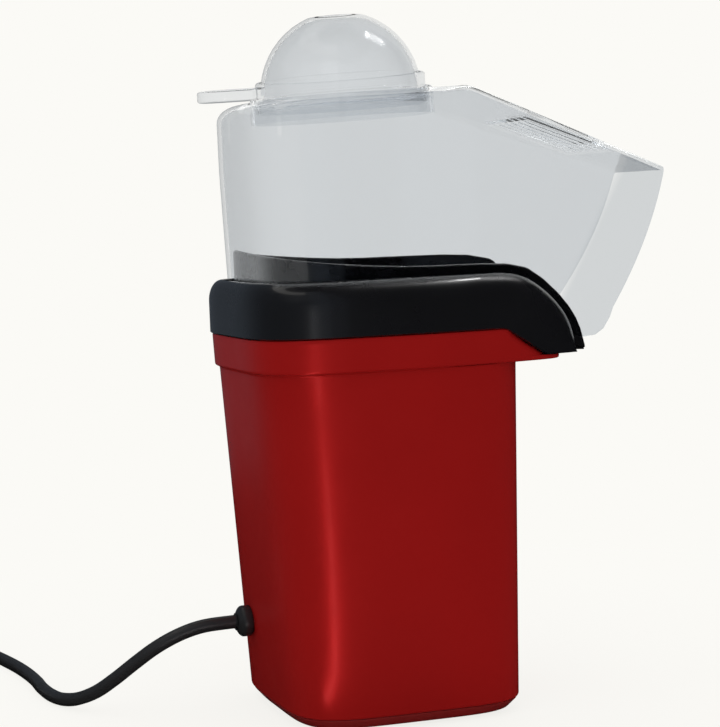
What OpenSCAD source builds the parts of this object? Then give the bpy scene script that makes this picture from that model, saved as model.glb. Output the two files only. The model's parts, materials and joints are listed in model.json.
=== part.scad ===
// Hot-air popcorn maker: tapered red housing, black chute collar, clear hood
// with a louvred roof, and a measuring cup that closes the hood upside down.
// Millimetres, +Z up. The outlet points along -Y and the mains lead along +Y.
// Points are worked out about the housing's own axis, and placed() moves
// every piece so that the origin is under the middle of the whole object.

/* [Housing] */
// Height of the rubber feet below the bottom cover
foot_h = 1.5; // [1:0.5:3]
// Height of the bottom cover up to the seam
cover_h = 4.5; // [4:0.5:6]
// Height of the housing from the seam to the shoulder band
housing_h = 145.5; // [142:0.5:152]
// Height of the shoulder band
band_h = 14.5; // [13:0.5:18]
// Half the depth of the housing at the seam
base_hd = 52; // [51:0.5:54]
// Half the width of the housing at the seam
base_hw = 55; // [54:0.5:56]
// Half the depth of the housing under the shoulder band
top_hd = 58.2; // [57.5:0.1:60]
// Half the width of the housing under the shoulder band
top_hw = 56.2; // [55.5:0.1:58]
// How far the base stands forward of the collar
base_fwd = 2.5; // [0:0.5:3]
// Wall of the housing and its cover
wall = 2.5; // [2:0.1:3]
// How far the shoulder band stands out
band_step = 1.8; // [1:0.1:2.5]
// Squareness of the plan, 2 is an ellipse
corner_n = 4.6; // [4.2:0.1:6]

/* [Collar] */
// How far the collar stands out from the band
collar_out = 0.8; // [0.3:0.1:2]
// Height of the collar's outer rim above the band
rim_h = 23.6; // [22:0.2:26]
// Height of the groove's floor above the band
groove_h = 11.7; // [11:0.1:13]
// Height of the inner fence at the back above the band
fence_h = 36.5; // [32:0.5:40]
// Wall of the collar
collar_wall = 2.2; // [1.8:0.1:2.6]
// Half the width of the collar at the tip of its side flanges
flange_tip_hw = 46; // [45:0.5:49]
// Distance from the axis to the tip of the side flanges
flange_tip = 80; // [78:0.5:82]
// Distance from the axis to the lip of the chute
chute_tip = 90.5; // [88:0.5:93]

/* [Hood] */
// Half the width of the hood at the back
hood_hw = 48.5; // [48:0.1:49.5]
// Half the depth of the hood behind the axis
hood_hd = 56; // [55:0.1:57]
// Wall of the hood
hood_wall = 1.8; // [1.4:0.1:2.2]
// Height of the hood above the groove's floor
hood_h = 89.8; // [86:0.2:95]
// Distance from the axis to the top of the outlet
outlet_fwd = 135; // [130:1:140]
// How far the roof falls from its bend to the outlet
roof_fall = 35; // [30:1:40]
// Half the width of the outlet
outlet_hw = 27; // [25:0.5:30]
// Number of louvre slots in the roof
slot_count = 6; // [4:1:7]
// Width of a louvre slot
slot_w = 2; // [1:0.2:3]
// Distance between louvre slots
slot_pitch = 7.4; // [5:0.1:8]
// Length of a louvre slot
slot_len = 39; // [25:1:42]

/* [Measuring cup] */
// Outer radius of the cup's dome
dome_r = 34.3; // [32:0.1:35]
// Height of the flat top above the cup's flange
cup_h = 34.5; // [30:0.5:38]
// Radius of the cup's flange
cup_flange_r = 40.4; // [40:0.1:42]
// Wall of the cup
cup_wall = 1.6; // [1.2:0.1:2]
// Distance from the cup's axis to the end of its handle
handle_reach = 64; // [55:1:68]
// Width of the handle
handle_w = 22; // [16:1:26]
// Thickness of the handle
handle_t = 4.6; // [3:0.1:5]
// Radius of the filling hole in the hood
hole_r = 38.4; // [37.5:0.1:38.6]
// How far the filling hole's neck hangs below the roof
neck_h = 5.7; // [4:0.1:8]

/* [Popping chamber and blower] */
// Distance from the chamber's axis to the back of the housing
chamber_rear = 52.2; // [51:0.1:53]
// How far the chamber stands behind the housing's axis
chamber_back = top_hd - chamber_rear;
// Inner radius of the chamber
chamber_r = 34; // [32:0.5:35]
// Height under the chamber for the blower, the motor and the board
works_h = 79.5; // [78:0.5:83]
// Depth of the chamber
chamber_depth = housing_h - works_h;
// Wall of the chamber
chamber_wall = 0.9; // [0.6:0.1:1]
// Number of angled air slots round the chamber
vane_count = 12; // [8:1:16]
// Height of an air slot
vane_h = 12; // [8:1:16]
// Inner radius of the steel air sleeve
sleeve_r = 42.25; // [42.1:0.05:42.4]
// Wall of the air sleeve
sleeve_wall = 0.65; // [0.5:0.05:0.8]
// Outer radius of the blower housing
blower_r = 42; // [41.5:0.1:42]
// Height of the blower housing
blower_h = 39; // [38:0.5:40]
// Radius of the impeller
fan_r = 33; // [28:1:35]
// Height of the impeller
fan_h = 14; // [10:1:15]
// Number of impeller blades
blade_count = 10; // [6:1:14]
// Radius of the motor can
motor_r = 18; // [15:0.5:19]
// Length of the motor can
motor_len = 36; // [30:1:38]
// Radius of the motor shaft
shaft_r = 1.15; // [1:0.05:1.6]
// Radial clearance of the shaft in its bearing
bearing_gap = 0.05; // [0.02:0.01:0.1]

/* [Switch] */
// Width of the switch's frame
switch_w = 15.4; // [14:0.2:17]
// Height of the switch's frame
switch_h = 22; // [20:0.5:25]
// Height of the switch's middle above the seam
switch_up = 38; // [30:1:38]
// Tilt of the rocker either side of level
rocker_tilt = 9; // [6:1:11]

/* [Mains lead] */
// Diameter of the lead
cord_d = 6; // [5:0.2:6.4]
// Height of the lead's exit above the seam
gland_up = 32; // [28:1:36]
// How far the lead's exit sits to the switch's side
gland_x = 20; // [0:1:22]
// Radius of the strain relief's head
gland_r = 6.9; // [6:0.1:8]
// Length of the strain relief outside the housing
gland_out = 7; // [6:0.5:10]
// Length of the strain relief inside the housing
gland_in = 14; // [12:0.5:18]

/* [Hidden] */
$fn = 64;
eps = 0.01;
through = 400;
plan_steps = 64;
taper_steps = 8;

// clearances
slip = 0.3;         // hood, cup and other lift-off seats
screw_gap = 0.1;    // screw shanks in their holes
fit_gap = 0.3;      // pieces that drop into each other
hood_gap = 0.6;     // each side of the hood's wall in its groove

// levels
seam_z = foot_h + cover_h;
step_z = seam_z + housing_h;
shoulder_z = step_z + band_h;
groove_z = shoulder_z + groove_h;
rim_z = shoulder_z + rim_h;
fence_z = shoulder_z + fence_h;
hood_z = groove_z + slip;
roof_z = hood_z + hood_h - slip;
deck_t = 2.8;

// where the whole object's middle lies, from the housing's axis
handle_end = chamber_back + handle_reach;
origin_y = (outlet_fwd - handle_end) / 2;

// the collar follows the shoulder band, the hood's groove follows the hood
band_flare = 0.6;
band_hw = top_hw + band_step;
band_hd = top_hd + band_step;
collar_hw = band_hw + band_flare + collar_out;
collar_hd = band_hd + band_flare + collar_out;
bend_fwd = 36;
flange_start = 46;
flange_foot = 66;
hood_lean = 2.5;
fence_in = hood_wall + hood_gap;

// screws
screw_r = 1.45;
screw_head_r = 3;
screw_head_h = 2;
small_r = 1.3;
small_head_r = 2.4;
small_head_h = 1.8;
boss_r = 3.6;
post_r = 4;
post_h = 24;
post_in_x = 16;
post_in_y = 15;
post_x = base_hw - post_in_x;
post_y = base_hd - post_in_y;
tab_t = 2.4;
tab_z = step_z + 0.5;
boss_in_x = 15.2;
boss_in_y = 17.2;
boss_x = top_hw - boss_in_x;
boss_back = top_hd - boss_in_y;
boss_front = 43;
screw_bite = 10;

// feet and cover
cover_floor = 3;
cover_cut = 4;
foot_r = 7;
foot_sunk = 1;
foot_in_x = 12;
foot_in_y = 4;
foot_x = post_x - foot_in_x;
foot_y = post_y - foot_in_y;
slot_rows = 3;
vent_w = 2.6;
vent_len = 44;
vent_pitch = 5.6;

// chamber, sleeve and blower stack, from the collar's deck down
ear_r = 4;
ear_at = sleeve_r + 5.2;
flange_r = sleeve_r + 4.2;
ear_turns = [90, 210, 330];
boss_drop = 6.8;
chamber_top = groove_z - deck_t - boss_drop;
chamber_floor = chamber_top - chamber_depth - chamber_wall;
sleeve_top = chamber_top - chamber_wall;
flange_t = 0.7;
blower_wall = 2;
heater_room = 2;
blower_top = chamber_floor - heater_room;
blower_z = blower_top - blower_h;
blower_floor = 2;
inlet_r = 24;
stop_h = 5;
stop_t = 2;
stop_r = blower_r + 2.5;
fan_gap = 2;
fan_z = blower_z + blower_floor + fan_gap;
hub_r = 5;
blade_t = 1;
blade_in = 12;
ledge_z = fan_z + fan_h + 2.5;
ledge_t = 1.5;
ledge_w = 3;
bracket_t = 1.5;
bracket_w = 16;
bracket_hl = 33;
bracket_screw = 28;
motor_top = blower_z - bracket_t;
motor_z = motor_top - motor_len;
motor_boss_r = 5;
motor_screw_at = 8.5;
endbell_h = 4;
board_r = 15;
board_t = 1.4;
board_drop = 3;
board_z = motor_z - endbell_h - board_drop;
lead_r = 0.8;
lead_at = 9;
diode_r = 1.5;
mica_t = 0.8;
mica_z = ledge_z + ledge_t;
mica_top = blower_top + heater_room - 1.5;
coil_inner = 20;
coil_outer = 31;
coil_rings = [coil_inner, coil_outer];
coil_tube = 2.4;
coil_z = (mica_z + mica_top) / 2;
vane_t = 1.6;
vane_up = 4;
vane_turn = 28;
sleeve_screw_turns = [30, 150, 270];
sleeve_screw_z = blower_top - 2.4;
tiny_r = 1;
tiny_head_r = 2;
tiny_head_h = 1.2;

// thermostat and thermal fuse, riveted to the sleeve
stat_up = 27;
stat_z = blower_top + stat_up;
stat_r = 7.5;
stat_h = 5.5;
seat_t = 0.9;
seat_h = 22;
seat_w = 12;
rivet_r = 1;
fuse_r = 2;
fuse_len = 12;
fuse_drop = 8;
fuse_z = stat_z - fuse_drop;

// switch in the +X flank
switch_y = -10;
switch_z = seam_z + switch_up;
switch_frame_t = 1.2;
switch_body_d = 15;
switch_border = 1.3;
rocker_w = switch_w - 5.4;
rocker_h = switch_h - 5;
rocker_out = 2.6;
pivot_r = 1;
pivot_len = 1;
pivot_x = 1.6;

// mains lead, points chosen by hand along the floor
cord_r = cord_d / 2;
gland_z = seam_z + gland_up;
gland_tip = gland_r - 1.2;
gland_core = cord_r + 2.4;
gland_tail = cord_r + 1;
cord_sides = 10;
wire_sides = 8;
wire_r = 1.1;
coil_x = 215;
coil_y = 186;
coil_lift = 1;
coil_mid = 34;
coil_half = 6;
tie_w = 8;
tie_t = 0.7;
tie_turn = 180;
tail_z = 10;
plug_z = 8;
plug_start = [150, 217];
lead_route = [[20.4, 74, 37.2], [21.3, 84, 34.4], [23, 94, 29.5], [26, 103, 23],
    [30.5, 111.5, 15.8], [36.5, 119, 9.6], [45, 126, 5.4], [55, 130.8, 3.6], [68, 133.6, 3],
    [84, 135, 3], [102, 135, 3], [120, 136, 3], [138, 138, 3], [156, 141, 3],
    [174, 144.5, 3], [192, 147.5, 3], [204, 148.8, 3.6], [215, 149, 4]];
tail_route = [[215, 223, 10], [204, 223, 10], [193, 222, 9.5], [182, 220, 9],
    [172, 218.5, 8.5], [162, 217.3, 8.1]];
wire_runs = [
    [[gland_x + 2, 34, 38], [gland_x + 6, 31, 35], [30, 24, 34], [33.5, 13, 38], [34, 2, 43],
        [33.5, -4, 47.5], [33, -7.5, 49.5]],
    [[33, -12, 39], [29, -18, 33], [22, -18, 24], [15, -12, 15.5], [10, -4, 12.5]],
    [[gland_x - 2, 34, 38], [gland_x - 8, 33.5, 34], [0, 32, 28], [-11, 28, 21],
        [-15, 18, 14.5], [-10, 6, 12.5]],
    [[34, -15, 50], [36, -26, 54], [37, -37, 62], [37, -41, 80], [39, -37, 100],
        [44, -20, 114], [49, -8, 117], [50.7, 0, 121.5], [50.7, 3.5, 123.5]]];

// ---- outlines and lofts

function bend(v, e) = sign(v) * pow(abs(v), e);

function oval(hw, hd, y = 0) = [for (i = [0:plan_steps - 1])
    let(t = 360 * i / plan_steps)
    [hw * bend(cos(t), 2 / corner_n), y + hd * bend(sin(t), 2 / corner_n)]];

function half_oval(hw, hd) = [for (i = [0:plan_steps / 2])
    let(t = 360 * i / plan_steps)
    [hw * bend(cos(t), 2 / corner_n), hd * bend(sin(t), 2 / corner_n)]];

// collar outline: square oval behind the axis, easing in to the flange tips
function collar_plan(inset = 0, fwd = flange_tip) = concat(
    half_oval(collar_hw - inset, collar_hd - inset),
    [for (k = [1:taper_steps]) let(u = k / taper_steps)
        [-(collar_hw - inset - (collar_hw - flange_tip_hw) * u * u), -fwd * u]],
    [for (k = [taper_steps:-1:1]) let(u = k / taper_steps)
        [collar_hw - inset - (collar_hw - flange_tip_hw) * u * u, -fwd * u]]);

// half the hood's width at a distance in front of the axis
function hood_side(fwd) = hood_hw
    - (hood_hw - outlet_hw) * max(0, fwd - bend_fwd) / (outlet_fwd - bend_fwd);

function hood_plan(inset = 0, fwd = outlet_fwd) = concat(
    half_oval(hood_hw - inset, hood_hd - inset),
    [[-(hood_side(bend_fwd) - inset), -bend_fwd], [-(hood_side(fwd) - inset), -fwd]],
    [[hood_side(fwd) - inset, -fwd], [hood_side(bend_fwd) - inset, -bend_fwd]]);

function raise(ring, z) = [for (p = ring) [p[0], p[1], z]];

// housing sizes at a height
function up(z) = (z - seam_z) / housing_h;
function wall_hw(z) = base_hw + (top_hw - base_hw) * up(z);
function wall_hd(z) = base_hd + (top_hd - base_hd) * up(z);
function wall_y(z) = -base_fwd * (1 - up(z));
function back_y(z) = wall_y(z) + wall_hd(z);

module loft(rings) {
    m = len(rings[0]);
    k = len(rings);
    sides = [for (j = [0:k - 2]) for (i = [0:m - 1]) let(n = (i + 1) % m)
        each [[j * m + i, (j + 1) * m + i, (j + 1) * m + n],
            [j * m + i, (j + 1) * m + n, j * m + n]]];
    floor_cap = [[for (i = [0:m - 1]) i]];
    roof_cap = [[for (i = [m - 1:-1:0]) (k - 1) * m + i]];
    polyhedron([for (r = rings) each r], concat(floor_cap, sides, roof_cap), 8);
}

module housing_loft(z0, z1, inset = 0) {
    loft([for (z = [z0, z1])
        raise(oval(wall_hw(z) - inset, wall_hd(z) - inset, wall_y(z)), z)]);
}

// a side outline of [forward, up] points, spread across the width
module side_slab(points, half = 100) {
    rotate([90, 0, -90])
        linear_extrude(2 * half, center = true) polygon(points);
}

module column(outline, z0 = 0, z1 = through) {
    translate([0, 0, z0]) linear_extrude(z1 - z0) polygon(outline);
}

module placed() {
    translate([0, origin_y, 0]) children();
}

module about_chamber() {
    translate([0, chamber_back, 0]) children();
}

// tube swept along a list of points
function unit(v) = v / norm(v);
function heading(run, i) = unit(run[min(i + 1, len(run) - 1)] - run[max(i - 1, 0)]);
function sweep_ring(p, dir, r, sides) = let(
    side = unit(cross(dir, abs(dir[2]) > 0.9 ? [0, 1, 0] : [0, 0, 1])),
    top = cross(side, dir))
    [for (k = [0:sides - 1]) let(t = 360 * k / sides)
        p + r * (cos(t) * side + sin(t) * top)];

module tube(run, r, sides) {
    loft([for (i = [0:len(run) - 1]) sweep_ring(run[i], heading(run, i), r, sides)]);
}

module screw(r, len, head_r, head_h) {
    cylinder(h = len, r = r);
    translate([0, 0, -head_h]) cylinder(h = head_h, r = head_r);
}

// ---- side outlines, [forward, up]

rim_side = [[-through, shoulder_z], [flange_start, shoulder_z], [flange_foot + 0.5, step_z + 2],
    [flange_tip + 5, step_z + 2], [flange_tip + 5, step_z + 3], [flange_tip - 0.4, step_z + 9],
    [flange_tip - 5.5, rim_z - 21], [flange_tip - 13.5, rim_z - 11.8],
    [flange_tip - 20, rim_z - 6], [flange_tip - 27, rim_z - 2], [flange_tip - 34, rim_z - 0.3],
    [flange_tip - 42, rim_z], [-through, rim_z]];

floor_side = [[-through, groove_z], [46, groove_z], [60, groove_z - 5],
    [71, groove_z - 12.7], [79, groove_z - 18], [chute_tip, step_z + 4.6],
    [chute_tip, step_z + 2], [77, groove_z - 20.5 - deck_t], [69, groove_z - 13.5 - deck_t],
    [59, groove_z - 6 - deck_t], [45, groove_z - deck_t], [-through, groove_z - deck_t]];

fence_side = [[-through, groove_z - 1], [46, groove_z - 1], [60, groove_z - 6],
    [71, groove_z - 13.7], [79, groove_z - 19], [chute_tip, step_z + 2],
    [chute_tip, step_z + 4], [chute_tip - 3.5, step_z + 14.5],
    [chute_tip - 10.5, fence_z - 23.5], [chute_tip - 22.5, fence_z - 14],
    [chute_tip - 37, fence_z - 9], [40, fence_z - 8.5], [20, fence_z - 9],
    [0, fence_z - 9], [-15, fence_z - 8], [-30, fence_z - 6], [-45, fence_z - 3],
    [-58, fence_z], [-through, fence_z]];

lip_side = [[40, step_z], [flange_tip - 5, step_z + 1], [flange_tip - 5, step_z + 2],
    [flange_foot, step_z + 2], [flange_start - 0.5, shoulder_z], [40, shoulder_z]];

// the hood from the side, drawn in by an inset; "beyond" opens its ends
function hood_side_points(inset, beyond) = let(
    top = roof_z - inset,
    back = hood_hd - inset,
    slope = roof_fall / (outlet_fwd - bend_fwd),
    far = outlet_fwd + beyond,
    round = 8)
    concat(
        [[-(back - hood_lean), hood_z - beyond], [-back, groove_z + 0.7 * hood_h]],
        [for (t = [0:15:90]) [-(back - round + round * cos(t)) + 0.5,
            top - round + round * sin(t)]],
        [[bend_fwd, top], [far, top - slope * (far - bend_fwd)]],
        [for (d = [12:12:60]) [far - 0.249 * d - 0.004 * d * d,
            roof_z - roof_fall - d]],
        [[outlet_fwd - 34 + beyond, hood_z - 14.5 - beyond / 4],
            [outlet_fwd - 38 + beyond, hood_z - 18 - beyond],
            [outlet_fwd - 47, hood_z - 18.6 - beyond], [79, hood_z - 17 - beyond],
            [71, hood_z - 12.2 - beyond], [60, hood_z - 4.6 - beyond],
            [46, hood_z - beyond]]);

// ---- housing

module body_shell() {
    color("firebrick") placed() difference() {
        union() {
            difference() {
                union() {
                    housing_loft(seam_z, step_z);
                    loft([raise(oval(band_hw, band_hd), step_z),
                        raise(oval(band_hw + band_flare, band_hd + band_flare), shoulder_z)]);
                }
                housing_loft(seam_z - 1, step_z + eps, wall);
                loft([raise(oval(band_hw - wall, band_hd - wall), step_z - eps),
                    raise(oval(band_hw + band_flare - wall, band_hd + band_flare - wall),
                        shoulder_z + 1)]);
            }
            spout_lip();
            intersection() {
                housing_loft(seam_z, tab_z + 1, wall / 2);
                union() {
                    for (x = [-1, 1], y = [-1, 1]) {
                        base_post(x, y);
                        collar_tab(x, y);
                    }
                }
            }
        }
        for (x = [-1, 1], y = [-1, 1]) {
            post_place(x, y) translate([0, 0, -1])
                cylinder(h = screw_bite + 3, r = screw_r + screw_gap);
            tab_place(x, y) translate([0, 0, -tab_t - 1])
                cylinder(h = tab_t + 2, r = screw_r + 4 * screw_gap);
        }
        // room for the collar's side flanges
        difference() {
            side_slab([[flange_start - 0.8, shoulder_z + 1], [flange_start - 0.8, shoulder_z],
                [flange_foot, step_z + 2],
                [through, step_z + 2], [through, shoulder_z + 1]]);
            column(hood_plan(fit_gap - hood_gap, flange_tip));
        }
        translate([gland_x, 0, gland_z]) rotate([-90, 0, 0])
            cylinder(h = through, r = gland_core + fit_gap);
        translate([switch_x() - 10, switch_y - switch_body_w() / 2 - fit_gap,
                switch_z - switch_body_h() / 2 - fit_gap])
            cube([20, switch_body_w() + 2 * fit_gap, switch_body_h() + 2 * fit_gap]);
    }
}

module post_place(x, y) {
    translate([x * post_x, wall_y(seam_z) + y * post_y, seam_z]) children();
}

module base_post(x, y) {
    post_place(x, y) {
        cylinder(h = post_h, r = post_r);
        rotate([0, 0, atan2(y * post_y, x * post_x)]) translate([0, -1, 0])
            cube([40, 2, post_h]);
    }
}

module tab_place(x, y) {
    translate([x * boss_x, y > 0 ? boss_back : -boss_front, tab_z]) children();
}

module collar_tab(x, y) {
    tab_place(x, y) translate([x > 0 ? -boss_r - 1 : -40, y > 0 ? -boss_r - 1 : -40, -tab_t])
        cube([boss_r + 41, boss_r + 41, tab_t]);
}

// red lip of the housing under the chute's side flanges
module spout_lip() {
    difference() {
        intersection() {
            column(collar_plan(collar_out, flange_tip));
            side_slab(lip_side);
        }
        intersection() {
            column(collar_plan(collar_out + wall, flange_tip - wall));
            translate([0, 0, wall]) side_slab([for (p = lip_side) [p[0] - wall, p[1]]]);
        }
        loft([raise(oval(band_hw - wall, band_hd - wall), step_z - 1),
            raise(oval(band_hw + band_flare - wall, band_hd + band_flare - wall),
                shoulder_z + 1)]);
    }
}

module bottom_cover() {
    rim_in = 0.5;
    color("maroon") placed() difference() {
        union() {
            difference() {
                loft([raise(oval(base_hw - cover_cut, base_hd - cover_cut, -base_fwd), foot_h),
                    raise(oval(base_hw - rim_in, base_hd - rim_in, -base_fwd), seam_z)]);
                column(oval(base_hw - cover_cut - wall, base_hd - cover_cut - wall, -base_fwd),
                    foot_h + cover_floor);
            }
            difference() {
                column(oval(base_hw - wall - fit_gap, base_hd - wall - fit_gap, -base_fwd),
                    foot_h + cover_floor - eps, seam_z + 5);
                column(oval(base_hw - 2 * wall - fit_gap, base_hd - 2 * wall - fit_gap,
                    -base_fwd), foot_h + cover_floor - 1);
                for (x = [-1, 1], y = [-1, 1])
                    post_place(x, y) {
                        cylinder(h = 20, r = post_r + fit_gap);
                        rotate([0, 0, atan2(y * post_y, x * post_x)])
                            translate([0, -1 - fit_gap, 0]) cube([40, 2 + 2 * fit_gap, 20]);
                    }
            }
            for (x = [-1, 1], y = [-1, 1])
                post_place(x, y) translate([0, 0, -cover_h]) cylinder(h = cover_h, r = post_r + 1);
        }
        for (x = [-1, 1], y = [-1, 1]) {
            post_place(x, y) translate([0, 0, -cover_h - 1]) {
                cylinder(h = 1 + screw_head_h + 0.6, r = screw_head_r + fit_gap);
                cylinder(h = 20, r = screw_r + 2 * screw_gap);
            }
            foot_place(x, y) translate([0, 0, -1]) cylinder(h = foot_h + foot_sunk + 1, r = foot_r + 0.1);
        }
        for (k = [-slot_rows:slot_rows])
            translate([k * vent_pitch - vent_w / 2, -base_fwd - vent_len / 2, 0])
                cube([vent_w, vent_len, foot_h + cover_floor + 1]);
    }
}

module foot_place(x, y) {
    translate([x * foot_x, wall_y(seam_z) + y * foot_y, 0]) children();
}

module rubber_feet() {
    color("dimgray") placed() for (x = [-1, 1], y = [-1, 1])
        foot_place(x, y) cylinder(h = foot_h + foot_sunk, r = foot_r);
}

module base_screws() {
    color("silver") placed() for (x = [-1, 1], y = [-1, 1])
        post_place(x, y) translate([0, 0, -cover_h + screw_head_h + 0.6])
            screw(screw_r, screw_bite + cover_h - screw_head_h, screw_head_r, screw_head_h);
}

// ---- collar

module collar() {
    groove_in = -hood_gap;
    color("black") placed() difference() {
        union() {
            // outer rim with side flanges, hollow from below
            difference() {
                intersection() {
                    column(collar_plan());
                    side_slab(rim_side);
                }
                column(hood_plan(groove_in, flange_tip + 30));
                intersection() {
                    difference() {
                        column(collar_plan(collar_wall, flange_tip - collar_wall));
                        column(hood_plan(groove_in - collar_wall, flange_tip + 30));
                    }
                    translate([0, 0, -collar_wall - 0.8]) side_slab(rim_side);
                }
                intersection() {
                    difference() {
                        column(collar_plan(collar_wall, flange_tip - collar_wall));
                        column(hood_plan(groove_in - collar_wall, flange_tip + 30));
                    }
                    column(collar_plan(0, flange_tip), 0, shoulder_z + 1);
                }
            }
            // deck between the rims, and the chute's floor beyond them
            intersection() {
                union() {
                    column(hood_plan(groove_in - collar_wall / 2, flange_tip - 0.5));
                    column(hood_plan(fence_in + collar_wall / 2, chute_tip));
                }
                side_slab(floor_side);
            }
            // fence inside the hood, running out along the chute
            difference() {
                intersection() {
                    column(hood_fit(fence_in, chute_tip));
                    side_slab(fence_side);
                }
                column(hood_fit(fence_in + collar_wall, chute_tip + 20));
            }
            about_chamber() {
                translate([0, 0, chamber_top + 0.2])
                    cylinder(h = groove_z - chamber_top - 1, r = chamber_r + 2.4);
                for (t = ear_turns)
                    rotate([0, 0, t]) translate([ear_at, 0, chamber_top])
                        cylinder(h = groove_z - chamber_top - 1, r = boss_r);
            }
            for (x = [-1, 1], y = [-1, 1])
                tab_place(x, y) cylinder(h = groove_z - tab_z - 1, r = boss_r);
        }
        about_chamber() {
            cylinder(h = through, r = chamber_r);
            for (t = ear_turns)
                rotate([0, 0, t]) translate([ear_at, 0, chamber_top - 1])
                    cylinder(h = boss_drop + 1, r = small_r + screw_gap);
        }
        for (x = [-1, 1], y = [-1, 1])
            tab_place(x, y) translate([0, 0, -1])
                cylinder(h = screw_bite + 2, r = screw_r + screw_gap);
    }
}

// the fence stands off the hood, whose back leans in towards the groove
function hood_fit(inset, fwd) = concat(
    half_oval(hood_hw - inset, hood_hd - hood_lean - inset),
    [[-(hood_side(bend_fwd) - inset), -bend_fwd], [-(hood_side(fwd) - inset), -fwd]],
    [[hood_side(fwd) - inset, -fwd], [hood_side(bend_fwd) - inset, -bend_fwd]]);

module collar_screws() {
    color("silver") placed() for (x = [-1, 1], y = [-1, 1])
        tab_place(x, y) translate([0, 0, -tab_t])
            screw(screw_r, tab_t + screw_bite, screw_head_r, screw_head_h);
}

// ---- popping chamber and its sleeve

module eared_plate(t) {
    linear_extrude(t) {
        circle(flange_r);
        for (a = ear_turns) rotate(a) translate([ear_at, 0]) circle(ear_r);
    }
}

module ear_holes(z, h) {
    for (a = ear_turns)
        rotate([0, 0, a]) translate([ear_at, 0, z]) cylinder(h = h, r = small_r + 2 * screw_gap);
}

module chamber() {
    color("lightsteelblue") placed() about_chamber() difference() {
        union() {
            translate([0, 0, chamber_top - chamber_wall]) eared_plate(chamber_wall);
            translate([0, 0, chamber_floor])
                cylinder(h = chamber_top - chamber_floor - chamber_wall / 2, r = chamber_r + chamber_wall);
        }
        translate([0, 0, chamber_floor + chamber_wall]) cylinder(h = through, r = chamber_r);
        ear_holes(chamber_top - 5, 10);
        for (k = [0:vane_count - 1])
            rotate([0, 0, 360 * k / vane_count])
                translate([chamber_r + chamber_wall / 2, 0,
                        chamber_floor + chamber_wall + vane_up + vane_h / 2])
                    rotate([0, 0, 90 - vane_turn]) cube([8, vane_t, vane_h], center = true);
    }
}

module air_sleeve() {
    color("gray") placed() about_chamber() difference() {
        union() {
            translate([0, 0, sleeve_top - flange_t]) eared_plate(flange_t);
            translate([0, 0, stop_z() + stop_t])
                cylinder(h = sleeve_top - stop_z() - stop_t, r = sleeve_r + sleeve_wall);
        }
        translate([0, 0, blower_z]) cylinder(h = through, r = sleeve_r);
        ear_holes(sleeve_top - 5, 10);
        for (t = sleeve_screw_turns)
            rotate([0, 0, t]) translate([0, 0, sleeve_screw_z]) rotate([0, 90, 0])
                cylinder(h = 60, r = tiny_r + screw_gap);
        for (s = [-1, 1], d = [-1, 1]) {
            seat_at = s > 0 ? stat_z : fuse_z;
            translate([0, 0, seat_at + d * (seat_h / 2 - 2)]) rotate([0, 90 * s, 0])
                cylinder(h = 60, r = rivet_r + screw_gap);
        }
    }
}

function stop_z() = blower_top - stop_h - stop_t;

module chamber_screws() {
    color("silver") placed() about_chamber() for (t = ear_turns)
        rotate([0, 0, t]) translate([ear_at, 0, sleeve_top - flange_t])
            screw(small_r, flange_t + chamber_wall + boss_drop - 1, small_head_r, small_head_h);
}

// ---- blower

module blower_housing() {
    in_r = blower_r - blower_wall;
    color("saddlebrown") placed() about_chamber() difference() {
        union() {
            translate([0, 0, blower_z]) cylinder(h = blower_h, r = blower_r);
            translate([0, 0, stop_z()]) cylinder(h = stop_t, r = stop_r);
        }
        translate([0, 0, blower_z + blower_floor])
            cylinder(h = ledge_z - blower_z - blower_floor, r = in_r);
        translate([0, 0, ledge_z - 1]) cylinder(h = through, r = in_r - ledge_w);
        translate([0, 0, ledge_z + ledge_t]) cylinder(h = through, r = in_r);
        translate([0, 0, blower_z - 1]) cylinder(h = blower_floor + 2, r = inlet_r);
        for (x = [-1, 1])
            translate([x * bracket_screw, 0, blower_z - 1])
                cylinder(h = blower_floor + 2, r = small_r + screw_gap);
        for (t = sleeve_screw_turns)
            rotate([0, 0, t]) translate([0, 0, sleeve_screw_z]) rotate([0, 90, 0])
                cylinder(h = 60, r = tiny_r + screw_gap);
    }
}

module sleeve_screws() {
    color("silver") placed() about_chamber() for (t = sleeve_screw_turns)
        rotate([0, 0, t]) translate([sleeve_r + sleeve_wall + 0.15, 0, sleeve_screw_z])
            rotate([0, -90, 0]) screw(tiny_r, 2.8, tiny_head_r, tiny_head_h);
}

module motor_bracket() {
    color("slategray") placed() about_chamber() difference() {
        translate([-bracket_hl, -bracket_w / 2, motor_top])
            cube([2 * bracket_hl, bracket_w, bracket_t]);
        translate([0, 0, motor_top - 1]) cylinder(h = 4, r = motor_boss_r + fit_gap);
        for (x = [-1, 1]) {
            translate([x * bracket_screw, 0, motor_top - 1])
                cylinder(h = 4, r = small_r + 2 * screw_gap);
            translate([0, x * 0, motor_top - 1]) translate([x * motor_screw_at, 0, 0])
                cylinder(h = 4, r = small_r + screw_gap);
        }
    }
}

module bracket_screws() {
    color("silver") placed() about_chamber() for (x = [-1, 1])
        translate([x * bracket_screw, 0, motor_top])
            screw(small_r, bracket_t + blower_floor - 0.2, small_head_r, small_head_h);
}

module motor_screws() {
    color("silver") placed() about_chamber() for (x = [-1, 1])
        translate([x * motor_screw_at, 0, blower_z]) rotate([180, 0, 0])
            screw(small_r, bracket_t + 4, small_head_r, small_head_h);
}

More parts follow.
